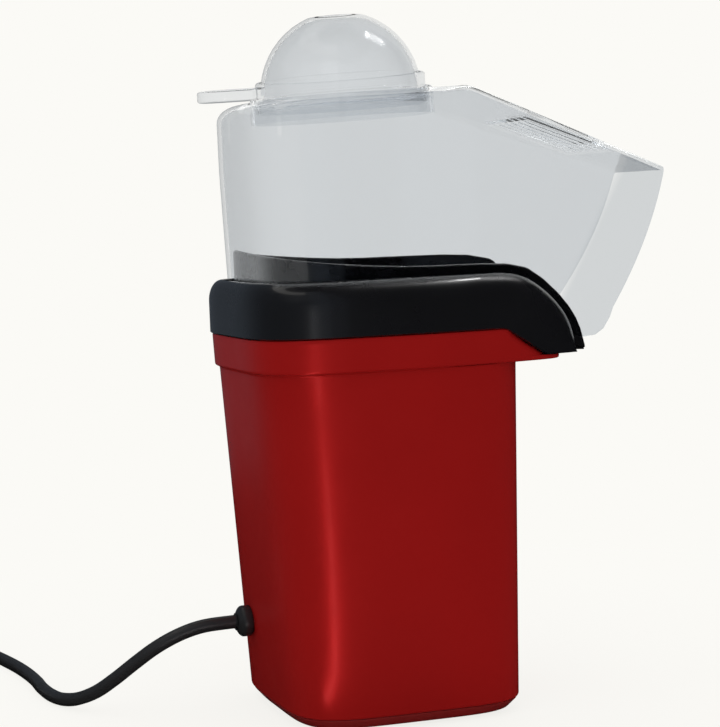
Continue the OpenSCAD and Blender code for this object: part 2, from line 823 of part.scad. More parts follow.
module motor_can() {
    color("gainsboro") placed() about_chamber() difference() {
        union() {
            translate([0, 0, motor_z]) cylinder(h = motor_len, r = motor_r);
            translate([0, 0, motor_top]) cylinder(h = bracket_t + 0.5, r = motor_boss_r);
        }
        translate([0, 0, motor_z + 2]) cylinder(h = through, r = shaft_r + bearing_gap);
        for (x = [-1, 1])
            translate([x * motor_screw_at, 0, motor_top - 5])
                cylinder(h = 6, r = small_r + screw_gap);
        for (t = [45:90:315])
            rotate([0, 0, t]) translate([motor_r - 1.2, -3, motor_z + 6]) cube([3, 6, 10]);
    }
}

module motor_endbell() {
    color("ivory") placed() about_chamber() {
        translate([0, 0, motor_z - endbell_h]) cylinder(h = endbell_h, r = motor_r - 0.5);
        for (x = [-1, 1])
            translate([x * lead_at, 0, board_z + board_t])
                cylinder(h = board_drop - board_t, r = lead_r);
    }
}

module motor_shaft() {
    color("white") placed() about_chamber()
        translate([0, 0, motor_z + 4]) cylinder(h = fan_z + fan_h + 1 - motor_z - 4, r = shaft_r);
}

module fan_impeller() {
    color("lightgray") placed() about_chamber() difference() {
        translate([0, 0, fan_z]) {
            cylinder(h = fan_h, r = hub_r);
            cylinder(h = blade_t, r = fan_r);
            for (k = [0:blade_count - 1])
                rotate([0, 0, 360 * k / blade_count]) {
                    translate([hub_r - 1, -blade_t / 2, 0])
                        cube([blade_in - hub_r + 1, blade_t, fan_h / 2]);
                    translate([blade_in - 1, -blade_t / 2, 0])
                        cube([fan_r - blade_in, blade_t, fan_h - 1]);
                }
        }
        cylinder(h = through, r = shaft_r);
    }
}

module rectifier_board() {
    color("seagreen") placed() about_chamber() translate([0, 0, board_z])
        cylinder(h = board_t, r = board_r);
}

module diodes() {
    color("darkslategray") placed() about_chamber()
        for (x = [-1, 1], y = [-1, 1])
            translate([x * 5.5 - 3, y * 6, board_z - diode_r]) rotate([0, 90, 0])
                cylinder(h = 6, r = diode_r);
}

// ---- heater

module mica_former() {
    reach = blower_r - blower_wall - fit_gap;
    color("burlywood") placed() about_chamber() difference() {
        translate([0, 0, mica_z]) for (a = [45, 135])
            rotate([0, 0, a]) translate([-reach, -mica_t / 2, 0])
                cube([2 * reach, mica_t, mica_top - mica_z]);
        heater_rings(coil_tube + 0.2);
    }
}

module heater_rings(r) {
    for (ring = coil_rings)
        translate([0, 0, coil_z]) rotate_extrude() translate([ring, 0]) circle(r, $fn = 24);
}

module heater_coil() {
    color("orangered") placed() about_chamber() heater_rings(coil_tube);
}

module seat_plate(z) {
    translate([sleeve_r + sleeve_wall + 0.2, -seat_w / 2, z - seat_h / 2])
        cube([seat_t, seat_w, seat_h]);
    for (d = [-1, 1])
        translate([sleeve_r - 1, 0, z + d * (seat_h / 2 - 2)]) rotate([0, 90, 0])
            cylinder(h = sleeve_wall + seat_t + 2.2, r = rivet_r);
}

module thermostat() {
    color("black") placed() about_chamber() {
        seat_plate(stat_z);
        translate([sleeve_r + sleeve_wall + 0.2, 0, stat_z]) rotate([0, 90, 0])
            cylinder(h = seat_t + stat_h, r = stat_r);
    }
}

module thermal_fuse() {
    clip = sleeve_r + sleeve_wall + 0.2 + seat_t;
    color("white") placed() about_chamber() rotate([0, 0, 180]) {
        seat_plate(fuse_z);
        translate([clip - 0.3, -fuse_r - 0.8, fuse_z - 3]) cube([2, 2 * fuse_r + 1.6, 6]);
        translate([clip + fuse_r - 0.2, 0, fuse_z - fuse_len / 2])
            cylinder(h = fuse_len, r = fuse_r);
    }
}

// ---- switch

function switch_x() = wall_hw(switch_z);
function switch_body_w() = switch_w - 2 * switch_border;
function switch_body_h() = switch_h - 2 * switch_border;

module switch_place() {
    translate([switch_x(), switch_y, switch_z]) children();
}

module switch_housing() {
    cavity_w = rocker_w + 0.6;
    cavity_h = rocker_h + 2.2;
    color("gray") placed() switch_place() difference() {
        union() {
            translate([0.15, -switch_w / 2, -switch_h / 2])
                cube([switch_frame_t, switch_w, switch_h]);
            translate([-switch_body_d, -switch_body_w() / 2, -switch_body_h() / 2])
                cube([switch_body_d + 1, switch_body_w(), switch_body_h()]);
            for (z = [-5, 5])
                translate([-switch_body_d - 6, -2.4, z - 0.4]) cube([7, 4.8, 0.8]);
        }
        translate([-8, -cavity_w / 2, -cavity_h / 2]) cube([20, cavity_w, cavity_h]);
        translate([-pivot_x, 0, 0]) rotate([90, 0, 0])
            cylinder(h = cavity_w + 2 * pivot_len + 0.4, r = pivot_r + 0.05, center = true);
    }
}

module switch_rocker() {
    h = rocker_h / 2;
    color("black") placed() switch_place() translate([-pivot_x, 0, 0])
        rotate([0, -rocker_tilt, 0]) {
            translate([0, rocker_w / 2, 0]) rotate([90, 0, 0]) linear_extrude(rocker_w)
                polygon([[-2, -3], [1.2, -h], [pivot_x + rocker_out, -h],
                    [pivot_x + rocker_out - 1.6, 0], [pivot_x + rocker_out, h],
                    [1.2, h], [-2, 3]]);
            rotate([90, 0, 0])
                cylinder(h = rocker_w + 0.6 + 2 * pivot_len, r = pivot_r, center = true);
        }
}

// ---- wiring and mains lead

module wiring() {
    color("goldenrod") placed() for (run = wire_runs) tube(run, wire_r, wire_sides);
}

module strain_relief() {
    back = back_y(gland_z);
    color("black") placed() difference() {
        translate([gland_x, back - gland_in, gland_z]) rotate([-90, 0, 0]) rotate_extrude()
            polygon([[0, 0], [gland_tail, 0], [gland_core - 0.4, 3], [gland_core, gland_in],
                [gland_core, gland_in + 0.45], [gland_r, gland_in + 0.45],
                [gland_r, gland_in + gland_out - 3.5],
                [gland_tip, gland_in + gland_out - 1], [gland_tip - 1.5, gland_in + gland_out],
                [0, gland_in + gland_out]]);
        translate([gland_x, back - gland_in - 1, gland_z]) rotate([-90, 0, 0])
            cylinder(h = through, r = cord_r);
    }
}

module power_cord() {
    back = back_y(gland_z);
    start = [[gland_x, back - gland_in, gland_z], [gland_x, back - gland_in / 2, gland_z],
        [gland_x, back, gland_z], [gland_x, back + gland_out + 3, gland_z]];
    color("black") placed() tube(concat(start, lead_route), cord_r, cord_sides);
}

module at_coil() {
    translate([coil_x, coil_y, coil_lift]) children();
}

module cord_coil() {
    color("black") placed() at_coil() rotate_extrude()
        translate([coil_mid - coil_half, 0]) square([2 * coil_half, 2 * coil_half]);
}

module cord_tail() {
    color("black") placed()
        tube(concat(tail_route, [[plug_start[0], plug_start[1], plug_z]]), cord_r, cord_sides);
}

module cord_tie() {
    color("white") placed() at_coil() rotate([0, 0, tie_turn]) difference() {
        translate([coil_mid - coil_half - tie_t - 0.3, -tie_w / 2, -tie_t - 0.1])
            cube([2 * (coil_half + tie_t + 0.3), tie_w, 2 * (coil_half + tie_t + 0.1)]);
        translate([coil_mid - coil_half - 0.3, -tie_w, -0.1])
            cube([2 * (coil_half + 0.3), 2 * tie_w, 2 * coil_half + 0.2]);
    }
}

// flat two-pin plug lying on its side, pins towards -X
module at_plug() {
    translate([plug_start[0], plug_start[1], plug_z]) children();
}

module plug_body() {
    color("black") placed() at_plug() {
        rotate([0, -90, 0]) rotate_extrude()
            polygon([[0, 0], [cord_r + 1, 0], [cord_r + 2.6, 18], [0, 18]]);
        translate([-24, 0, 0]) hull() {
            translate([4, 0, 0]) cube([12, 14, 12], center = true);
            translate([-10, 0, 0]) cube([12, 24, 15], center = true);
        }
    }
}

module plug_pins() {
    color("silver") placed() at_plug() for (y = [-6.35, 6.35])
        translate([-40 - 17, y - 0.75, -3.2]) cube([17, 1.5, 6.4]);
}

// ---- hood and measuring cup

module hood() {
    slope = atan(roof_fall / (outlet_fwd - bend_fwd));
    color("aliceblue") placed() difference() {
        union() {
            difference() {
                intersection() {
                    column(hood_plan(0, outlet_fwd + 20));
                    side_slab(hood_side_points(0, 0));
                }
                intersection() {
                    column(hood_plan(hood_wall, outlet_fwd + 20));
                    side_slab(hood_side_points(hood_wall, 6));
                }
            }
            about_chamber() translate([0, 0, roof_z - neck_h])
                cylinder(h = neck_h, r = hole_r + hood_wall);
        }
        about_chamber() translate([0, 0, hood_z]) cylinder(h = through, r = hole_r);
        translate([0, -bend_fwd, roof_z]) rotate([slope, 0, 0])
            for (k = [0:slot_count - 1])
                translate([(k - (slot_count - 1) / 2) * slot_pitch - slot_w / 2,
                        -slot_len - slot_len, -4])
                    cube([slot_w, slot_len, 8]);
    }
}

module measuring_cup() {
    base = roof_z + slip;
    ring_h = 3.6;
    step_h = 4.3;
    round_z = base + cup_h - sqrt(dome_r * dome_r - 144);
    spigot_r = hole_r - hood_gap;
    color("azure") placed() about_chamber() difference() {
        union() {
            translate([0, 0, base]) cylinder(h = ring_h, r = cup_flange_r);
            translate([0, 0, base + ring_h - eps]) cylinder(h = step_h, r = dome_r + 1.1);
            translate([0, 0, base - neck_h + 0.4]) cylinder(h = neck_h, r = spigot_r);
            intersection() {
                translate([0, 0, round_z]) sphere(dome_r);
                translate([0, 0, base]) cylinder(h = cup_h, r = dome_r + 1);
            }
            cup_handle(base);
            rotate([0, 0, 162]) translate([dome_r - 0.5, -2.7, base + ring_h - 1])
                cube([2.4, 5.4, 6]);
        }
        intersection() {
            translate([0, 0, round_z]) sphere(dome_r - cup_wall);
            translate([0, 0, base - 1]) cylinder(h = cup_h + 1 - cup_wall, r = dome_r);
        }
        translate([0, 0, base - 10])
            cylinder(h = 10 + round_z - base + 1, r = dome_r - cup_wall);
    }
}

module cup_handle(base) {
    tip = handle_w / 2;
    translate([0, 0, base]) linear_extrude(handle_t) {
        translate([-tip, cup_flange_r - 10]) square([handle_w, handle_reach - cup_flange_r + 10 - tip]);
        translate([0, handle_reach - tip]) circle(tip);
    }
}

body_shell();
bottom_cover();
rubber_feet();
base_screws();
collar();
collar_screws();
chamber();
air_sleeve();
chamber_screws();
blower_housing();
sleeve_screws();
motor_bracket();
bracket_screws();
motor_screws();
motor_can();
motor_endbell();
motor_shaft();
fan_impeller();
rectifier_board();
diodes();
mica_former();
heater_coil();
thermostat();
thermal_fuse();
switch_housing();
switch_rocker();
wiring();
strain_relief();
power_cord();
cord_coil();
cord_tail();
cord_tie();
plug_body();
plug_pins();
hood();
measuring_cup();
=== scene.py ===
import json
from math import acos, asin, atan, atan2, cos, hypot, pi, radians, sin, sqrt, tan, tau

import bmesh
import bpy
import numpy as np
from bpy.props import FloatProperty, FloatVectorProperty, IntProperty, PointerProperty
from mathutils import Matrix, Vector


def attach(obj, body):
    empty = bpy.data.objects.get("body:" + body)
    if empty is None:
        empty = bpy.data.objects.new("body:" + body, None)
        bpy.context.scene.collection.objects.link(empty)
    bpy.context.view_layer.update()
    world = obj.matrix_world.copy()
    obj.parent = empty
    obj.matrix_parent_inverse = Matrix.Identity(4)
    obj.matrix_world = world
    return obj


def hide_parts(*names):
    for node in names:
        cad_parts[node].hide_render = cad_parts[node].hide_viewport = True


bl_info = {
    "name": "Hot-air popcorn maker",
    "version": (1, 0, 0),
    "blender": (4, 5, 0),
    "location": "View3D > Sidebar > Popcorn maker",
    "description": "Builds the shells, hood, cup and lead of a hot-air popcorn maker",
    "category": "Add Mesh",
}

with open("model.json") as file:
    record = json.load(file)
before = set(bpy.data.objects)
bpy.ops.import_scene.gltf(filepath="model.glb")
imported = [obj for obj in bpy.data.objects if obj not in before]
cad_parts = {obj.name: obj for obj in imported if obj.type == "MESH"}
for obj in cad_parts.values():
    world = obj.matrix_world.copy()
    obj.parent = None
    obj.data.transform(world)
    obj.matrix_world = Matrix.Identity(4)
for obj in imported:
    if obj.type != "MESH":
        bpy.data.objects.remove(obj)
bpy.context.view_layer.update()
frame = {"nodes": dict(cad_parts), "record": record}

# Pieces are worked out in millimetres as (across, forward, up) from the housing's axis.
# _Z is a height, _F a distance forward, _HW and _HD half a width and half a depth.
MM = 0.001
AXIS_Y = 32.5
SQUARE = 4.6  # how square the ovals of housing, collar and hood are
RING = 288
CREASE = radians(38)
SEAM_Z, STEP_Z, SHOULDER_Z = 6.0, 151.5, 166.0
WALL = 2.5
RIM_FOOT_Z, RIM_Z, STUD_Z, STUD_R = 166.12, 189.6, 176.5, 3.6
HOOD_Z, ROOF_Z, CUP_Z, TOP_Z = 178.0, 267.5, 267.8, 302.3
CHAMBER_F, CHAMBER_R, CHAMBER_TOP = -6.0, 34.0, 168.1
BEND_F, BEND_EASE, OUTLET_F, ROOF_FALL = 36.0, 3, 135.0, 35.0
FLANGE_F, FLANGE_HW, CHUTE_F = 80.0, 46.0, 90.5
COLLAR_HW, COLLAR_HD = 59.4, 61.4
HOOD_HW, HOOD_HD, HOOD_LEAN, HOOD_WALL, OUTLET_HW = 48.5, 56.0, 2.5, 1.8, 27.0
HOOD_GAP, LEAN_TOP_Z = 0.6, 240.6
FENCE_IN, FENCE_T, FENCE_HD = 2.4, 2.2, 51.1
NECK_R, NECK_OUT_R, NECK_HOLE_R, NECK_Z, NECK_TOP_Z = 37.2, 40.2, 38.4, 257.8, 266.9
DOME_Z, DOME_R = 269.4, 35.0
CORD_R = 3.0
BACK = 51.41
GLAND_X, GLAND_Z = 20.0, 38.0


# ---- mesh tools

def put(name, data):
    """A new object in the scene."""
    obj = bpy.data.objects.new(name, data)
    bpy.context.scene.collection.objects.link(obj)
    return obj


def spot(p):
    """A point of (across, forward, up) in millimetres, in the frame's metres."""
    return (p[0] * MM, (AXIS_Y - p[1]) * MM, p[2] * MM)


def clamp(u, low=0):
    return max(low, min(1, u))


def eased(u):
    """0 to 1 with a soft start and a soft end."""
    u = clamp(u)
    return u * u * (3 - 2 * u)


def angles(count):
    """count angles evenly round a whole turn."""
    return np.linspace(0, tau, count, endpoint=False)


def about(t, r, centre=(0, 0)):
    """The point at an angle and a distance from a centre."""
    return centre[0] + r * cos(t), centre[1] + r * sin(t)


def between(a, b, u):
    """The plan point that is a share u of the way from a to b."""
    return a[0] + (b[0] - a[0]) * u, a[1] + (b[1] - a[1]) * u


def circle(r, centre=(0, 0), count=48):
    return [about(t, r, centre) for t in angles(count)]


def raised(ring, z):
    """A flat ring set at a height."""
    return [(x, f, z) for x, f in ring]


def loft(rings, wrap_rings=False, wrap_ring=True, caps=(False, False)):
    """Points and faces of a skin over rings that have the same number of points."""
    rows, columns = len(rings), len(rings[0])
    faces = []
    for r in range(rows if wrap_rings else rows - 1):
        n = ((r + 1) % rows - r) * columns
        for c in range(columns if wrap_ring else columns - 1):
            a, b = r * columns + c, r * columns + (c + 1) % columns
            faces.append((a, b, b + n, a + n))
    if caps[0]:
        faces.append(tuple(range(columns - 1, -1, -1)))
    if caps[1]:
        faces.append(tuple(range((rows - 1) * columns, rows * columns)))
    return [tuple(p) for ring in rings for p in ring], faces


def form(rings):
    """A loft that is closed at both ends."""
    return loft(rings, caps=(True, True))


def joined(*parts):
    """Several lofts as one set of points and faces."""
    points, faces = [], []
    for p, f in parts:
        faces += [tuple(i + len(points) for i in face) for face in f]
        points += p
    return points, faces


def tidy_mesh(mesh):
    """Clears doubled and loose points, turns the faces outward and marks sharp edges."""
    bm = bmesh.new()
    bm.from_mesh(mesh)
    bmesh.ops.remove_doubles(bm, verts=bm.verts, dist=2e-6)
    bmesh.ops.dissolve_degenerate(bm, edges=bm.edges, dist=1e-6)
    loose = [v for v in bm.verts if not v.link_faces]
    bmesh.ops.delete(bm, geom=loose, context="VERTS")
    bmesh.ops.recalc_face_normals(bm, faces=bm.faces)
    for face in bm.faces:
        face.smooth = True
    for edge in bm.edges:
        edge.smooth = not (len(edge.link_faces) != 2 or edge.calc_face_angle(0) > CREASE)
    bm.to_mesh(mesh)
    bm.free()


def raw_object(name, part):
    """An object from the points and faces of a loft."""
    mesh = bpy.data.meshes.new(name)
    mesh.from_pydata([spot(p) for p in part[0]], [], part[1])
    tidy_mesh(mesh)
    return put(name, mesh)


def bake_modifiers(obj):
    """Turns what an object's modifiers make of its mesh into its mesh."""
    bpy.context.view_layer.update()
    graph = bpy.context.evaluated_depsgraph_get()
    mesh = bpy.data.meshes.new_from_object(obj.evaluated_get(graph))
    obj.modifiers.clear()
    old, obj.data = obj.data, mesh
    mesh.name = obj.name
    bpy.data.meshes.remove(old)
    tidy_mesh(mesh)


def combine(obj, how, *parts):
    """Cuts away, adds or keeps what is common with each part, one after the other."""
    for part in parts:
        tool = raw_object("tool", part)
        m = obj.modifiers.new("combine", "BOOLEAN")
        m.operation, m.solver, m.object = how, "EXACT", tool
        bake_modifiers(obj)
        bpy.data.objects.remove(tool)
    return obj


def coat(obj, slot):
    """Gives an object the finish of a slot and no other."""
    obj.data.materials.clear()
    obj.data.materials.append(finish_of(slot))


def finish_piece(obj, body, slot, *nodes):
    """Gives a piece the finish of its slot, its body and the nodes that it stands for."""
    coat(obj, slot)
    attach(obj, body)
    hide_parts(*nodes)
    return obj


def cylinder(centre, radius, z0, z1, count=48):
    return form([raised(circle(radius, centre, count), z) for z in (z0, z1)])


def rectangle(a0, a1, b0, b1):
    return [(a0, b0), (a1, b0), (a1, b1), (a0, b1)]


def box(x, f, z):
    """A closed box between pairs of limits."""
    return form([raised(rectangle(*x, *f), c) for c in z])


def slab(outline, *across):
    """An outline of (forward, up) points, drawn out between two places across."""
    return form([[(x, f, z) for f, z in outline] for x in across])


def turned(profile, centre=(0, CHAMBER_F), count=96):
    """A profile of (radius, up) points turned about an upright axis."""
    return loft([raised(circle(r, centre, count), z) for r, z in profile], wrap_rings=True)


def rounded(points, radius, steps=5):
    """The corners of an open or closed outline of 2-D points, rounded off.
    radius is one number or one for each point."""
    out = []
    n = len(points)
    radii = radius if hasattr(radius, "__len__") else [radius] * n
    for i, p in enumerate(points):
        a, b = np.array(points[i - 1], float), np.array(points[(i + 1) % n], float)
        p, r = np.array(p, float), radii[i]
        if r <= 0:
            out.append(tuple(p))
            continue
        u, v = a - p, b - p
        lu, lv = np.linalg.norm(u), np.linalg.norm(v)
        u, v = u / lu, v / lv
        half = acos(max(-1, min(1, float(u @ v)))) / 2
        if half > radians(88):
            out.append(tuple(p))
            continue
        cut = min(r / tan(half), 0.48 * min(lu, lv))
        r = cut * tan(half)
        centre = p + (u + v) / np.linalg.norm(u + v) * r / sin(half)
        s, e = p + u * cut - centre, p + v * cut - centre
        sweep = atan2(s[0] * e[1] - s[1] * e[0], float(s @ e))
        for k in range(steps + 1):
            t = sweep * k / steps
            c, w = cos(t), sin(t)
            out.append(tuple(centre + np.array([s[0] * c - s[1] * w, s[0] * w + s[1] * c])))
    return out


def distances(line):
    """How far along a line each of its points lies."""
    return np.concatenate([[0], np.cumsum(np.linalg.norm(np.diff(line, axis=0), axis=1))])


def along(line, at):
    """The points of a line at some distances along it."""
    run = distances(line)
    return np.stack([np.interp(at, run, part) for part in np.transpose(line)], -1)


def smooth_line(points, count):
    """count points evenly along a Catmull-Rom curve through points of any dimension."""
    p = np.array(points, float)
    p = np.vstack([2 * p[0] - p[1], p, 2 * p[-1] - p[-2]])
    dense = []
    for i in range(1, len(p) - 2):
        knots = [0.0]
        for k in range(3):
            knots.append(knots[-1] + np.linalg.norm(p[i + k] - p[i + k - 1]) ** 0.5 + 1e-9)
        for t in np.linspace(knots[1], knots[2], 24, endpoint=False):
            def mix(a, b, ta, tb):
                return a * (tb - t) / (tb - ta) + b * (t - ta) / (tb - ta)
            q = [mix(p[i - 1 + k], p[i + k], knots[k], knots[k + 1]) for k in range(3)]
            q = [mix(q[0], q[1], knots[0], knots[2]), mix(q[1], q[2], knots[1], knots[3])]
            dense.append(mix(q[0], q[1], knots[1], knots[2]))
    dense = np.array(dense + [p[-2]])
    return along(dense, np.linspace(0, distances(dense)[-1], count))


# ---- outlines shared by the pieces

def square_point(hw, hd, t, square=SQUARE):
    """The point of a square oval at an angle."""
    c, s = abs(cos(t)), abs(sin(t))
    r = ((c / hw) ** square + (s / hd) ** square) ** (-1 / square)
    return r * cos(t), r * sin(t)


def squircle(hw, hd, mid):
    """Ring of (across, forward) points on a square oval, evenly turned."""
    ring = [square_point(hw, hd, tau * i / RING) for i in range(RING)]
    return [(x, mid + f) for x, f in ring]


def wall_sizes(z):
    """Half width, half depth and middle of the housing at a height."""
    u = (z - SEAM_Z) / (STEP_Z - SEAM_Z)
    return 55 + 1.2 * u, 52 + 6.2 * u, 2.5 * (1 - u)


def draw_in(f):
    """Share of the collar's taper at a distance forward, starting off gently."""
    f = np.maximum(f, 0)
    return (f / FLANGE_F) ** 2 * f / (f + 10) * (FLANGE_F + 10) / FLANGE_F


def collar_half(f):
    return COLLAR_HW - (COLLAR_HW - FLANGE_HW) * float(draw_in(f))


def hood_half(f):
    return HOOD_HW - (HOOD_HW - OUTLET_HW) * max(0.0, f - BEND_F) / (OUTLET_F - BEND_F)


# ---- housing and its cover

def band_sizes(z):
    """Half width and half depth of the shoulder band at a height."""
    u = (z - STEP_Z) / (SHOULDER_Z - STEP_Z)
    return 58 + 0.6 * u, 60 + 0.6 * u


def band_ring(z, out, lip):
    """Outline of the shoulder band at a height, with the lip under the chute out to lip."""
    hw, hd = band_sizes(max(z, STEP_Z))
    hw, hd = hw + out, hd + out
    t = angles(RING)
    c, s = np.cos(t), np.sin(t)

    def inside(r):
        x, f = np.abs(r * c), r * s
        side = hw - (COLLAR_HW - FLANGE_HW) * draw_in(f)
        band = ((x / hw) ** SQUARE + (np.abs(f) / hd) ** SQUARE < 1) & (x < side)
        tongue = (f > 0) & ((x / side) ** 22 + (f / lip) ** 22 < 1)
        return band | tongue

    low, high = np.zeros(RING), np.full(RING, 140.0)
    for _ in range(30):
        mid = (low + high) / 2
        hit = inside(mid)
        low, high = np.where(hit, mid, low), np.where(hit, high, mid)
    return raised(zip(low * c, low * s), z)


def build_housing(edge):
    """The shell with its shoulder band and the lip under the chute."""
    def wall_ring(z, out):
        hw, hd, mid = wall_sizes(min(z, STEP_Z))
        return raised(squircle(hw + out, hd + out, mid), z)

    rings = [wall_ring(SEAM_Z + up * edge, -back * edge)
             for up, back in ((0, 1), (0.12, 0.5), (0.5, 0.12))]
    rings += [wall_ring(z, 0) for z in np.linspace(SEAM_Z + edge, 150.2, 9)]
    rings += [wall_ring(150.9, 0.12), wall_ring(151.3, 0.5)]
    rings += [band_ring(*at) for at in (
        (151.5, -0.9, 73.6), (151.62, -0.45, 74.5), (152.0, -0.12, 74.9), (152.6, 0, 75),
        (153.1, 0, 75), (153.4, 0, 74.7), (153.5, 0, 74.2), (153.52, 0, 67.4))]
    rings += [band_ring(z, 0, 67.4 - 20.5 * (z - 153.5) / 12.5)
              for z in np.linspace(155, 165.2, 8)]
    rings += [band_ring(*at) for at in (
        (165.7, -0.22, 46.6), (166, -0.8, 45.5), (166, -1.8, 44), (165.6, -2.4, 43),
        (164.8, -WALL, 42), (152.4, -WALL, 42))]
    rings += [wall_ring(z, -WALL) for z in (150.8, 110, 60, 10, 7)] + [wall_ring(6.3, -2.2)]
    shell = raw_object("housing", loft(rings, wrap_rings=True))
    gland = [[(x, -y, z) for x, z in circle(5.7, (GLAND_X, GLAND_Z))] for y in (30, 80)]
    window = slab(rounded(rectangle(3.3, 16.7, 34, 54), 0.8), 40, 70)
    return combine(shell, "DIFFERENCE", form(gland), window)


POST_X, POST_F = 39.0, 37.0
FOOT_X, FOOT_F = 27.0, 33.0
BASE_F = 2.5


def four(x, f):
    """The corners of a rectangle round the middle of the base."""
    return [(i * x, BASE_F + j * f) for i in (-1, 1) for j in (-1, 1)]


def build_cover(slots):
    """The bottom cover with its vents and the seats of feet and screws."""
    def ring(z, inset):
        return raised(squircle(55 - inset, 52 - inset, BASE_F), z)

    profile = [(1.5, 4.9), (1.56, 4.5), (1.75, 4.1), (2.1, 3.75), (5.3, 0.95), (5.7, 0.75),
               (5.9, 0.85), (5.98, 1.3), (5.98, 2.85), (11, 2.85), (11, 5.2), (4.5, 5.2)]
    cover = raw_object("base_cover", form([ring(z, i) for z, i in profile]))
    pitch, half, reach = 5.6, 1.3, 22
    cuts = [box((k * pitch - half, k * pitch + half), (BASE_F - reach, BASE_F + reach), (0, 8))
            for k in np.arange(slots) - (slots - 1) / 2]
    cuts += [cylinder(at, 7.1, 0, 2.5) for at in four(FOOT_X, FOOT_F)]
    cuts += [cylinder(at, 3.3, 0, 4.1) for at in four(POST_X, POST_F)]
    return combine(cover, "DIFFERENCE", joined(*cuts))


def build_feet():
    profile = rounded([(0.05, 0), (6.3, 0), (7, 2.5), (0.05, 2.5)], [0, 0.9, 0.2, 0], 4)
    profile = [(0.05, 0.5), (3.2, 0.5), (3.8, 0.02)] + profile[1:]
    return raw_object("feet", joined(*[turned(profile, at, 48) for at in four(FOOT_X, FOOT_F)]))


# ---- collar

def table(points, at):
    """The height of a line of (forward, up) points at a distance forward."""
    return float(np.interp(at, *zip(*points)))


RIDGE = smooth_line([(0, 189.6), (20, 189.6), (38, 189.6), (48, 189.4), (56, 188),
                     (62.3, 185.2), (67.8, 181.4), (73.7, 176.2), (78.6, 170.2), (81.4, 164.6),
                     (82.5, 159.2), (82.6, 155.6), (82.3, 154.3)], 60)
FALL_AWAY_F = 60
FOOT_LINE = [(0, 166.12), (38, 166.12), (43, 166.1), (45.5, 165.75), (47.5, 164.8), (50, 163.2),
             (58, 158.4), (64, 154.8), (66, 153.9), (68, 153.65), (81.9, 153.6)]
FLOOR_LINE = [(-70, 177.7), (46, 177.7), (60, 172.7), (71, 165), (79, 159.7), (90.5, 156.1)]
UNDER_LINE = [(-70, 174.9), (45, 174.9), (59, 168.9), (69, 161.4), (77, 154.4), (90.5, 153.7)]
FENCE_LINE = [(-58, 203.2), (-44, 199.8), (-32, 198.2), (-20, 197), (-8, 196), (4, 195.3),
              (16, 195), (28, 195), (40, 194.9), (52, 194.3), (62, 192.2), (70, 187.2),
              (77.6, 180.6), (83.4, 174.1), (87.3, 168), (89.6, 162), (90.5, 157.6)]


def rim_section(outer, inner, foot, ridge, floor, roll):
    """Closed section of the rim. outer and inner give a plan point at a distance up the
    line from foot to ridge, and roll is the share of it that the rounded top takes."""
    def at(u, w):
        return (*between(inner(u), outer(u), w), foot + (ridge - foot) * u)

    tall = max(ridge - foot, 0.5)
    points = [at(0, 0.93), at(min(0.4 / tall, 0.3), 1)]
    points += [at(u, 1) for u in np.linspace(0.15, 1, 5) * (1 - roll)]
    points += [at(1 - roll + roll * sin(a), 0.06 + 0.94 * cos(a))
               for a in np.radians(np.linspace(8, 90, 13))]
    points += [at(1 - 0.03 * roll, 0), at(1 - 0.15 * roll, 0)]
    z = min(floor, ridge - 0.3)
    points += [(*inner(1), z), (*between(inner(0), outer(0), 0.35),
                                min(max(foot, z - 12), z - 0.1))]
    return points


def rim_rings(roll_height):
    """Sections of the rim, from the chute's tip round the back to the other tip."""
    def front(sign, k):
        r = RIDGE[k]
        # the foot lies under the ridge, and keeps pace with it where the flange falls away
        if r[0] < FALL_AWAY_F:
            b = np.array([r[0] * 0.985, table(FOOT_LINE, r[0] * 0.985)])
        else:
            b = along(FOOT_LINE, distances(FOOT_LINE)[-1] * k / (len(RIDGE) - 1))

        def side(half, shift):
            def point(v):
                f = b[0] + (r[0] - b[0]) * v
                return sign * (half(f) + shift), f
            return point
        tall = hypot(*(r - b))
        roll = min(roll_height / max(tall, 0.1), 0.75)
        return rim_section(side(collar_half, 0), side(hood_half, HOOD_GAP), b[1], r[1],
                           table(FLOOR_LINE, r[0]) - 1.2, roll)

    def back(t):
        o = square_point(COLLAR_HW, COLLAR_HD, t)
        i = square_point(HOOD_HW + HOOD_GAP, HOOD_HD + HOOD_GAP, t)
        return rim_section(lambda u: o, lambda u: i, RIM_FOOT_Z, RIM_Z, STUD_Z,
                           roll_height / (RIM_Z - RIM_FOOT_Z))

    last = len(RIDGE) - 1
    rings = [front(1, k) for k in range(last, 0, -1)]
    rings += [back(-t) for t in np.linspace(0, pi, 121)]
    rings += [front(-1, k) for k in range(1, last + 1)]
    return rings


def fence_plan(side, v, inset):
    """A plan point of the inner fence, at v along a side or at the angle v round the back."""
    if side:
        return side * (hood_half(v) - FENCE_IN - inset), v
    return square_point(HOOD_HW - FENCE_IN - inset, FENCE_HD - inset, v)


def fence_form():
    """The fence inside the hood's foot, with a round top."""
    route = [(1, f) for f in np.linspace(CHUTE_F, 2, 46)]
    route += [(0, -t) for t in np.linspace(0, pi, 97)]
    route += [(-1, f) for f in np.linspace(2, CHUTE_F, 46)]
    edge = FENCE_T / 2
    rings = []
    for side, v in route:
        x, f = fence_plan(side, v, 0)
        low = table(FLOOR_LINE, f) - 1.5
        # the fence stands a little higher on the switch's side, and falls later there
        lean = clamp(x / 25, -1)
        later = 13 * max(lean, 0) * clamp((f - 30) / 20) * min(1, (CHUTE_F - f) / 14)
        top = max(table(FENCE_LINE, f - later) + 1.2 * lean, low + 1.6)
        ring = [(0, low)] + [(edge - edge * cos(a), top - edge + edge * sin(a))
                             for a in np.radians(range(0, 181, 30))] + [(FENCE_T, low)]
        rings.append([(*fence_plan(side, v, i), z) for i, z in ring])
    return form(rings)


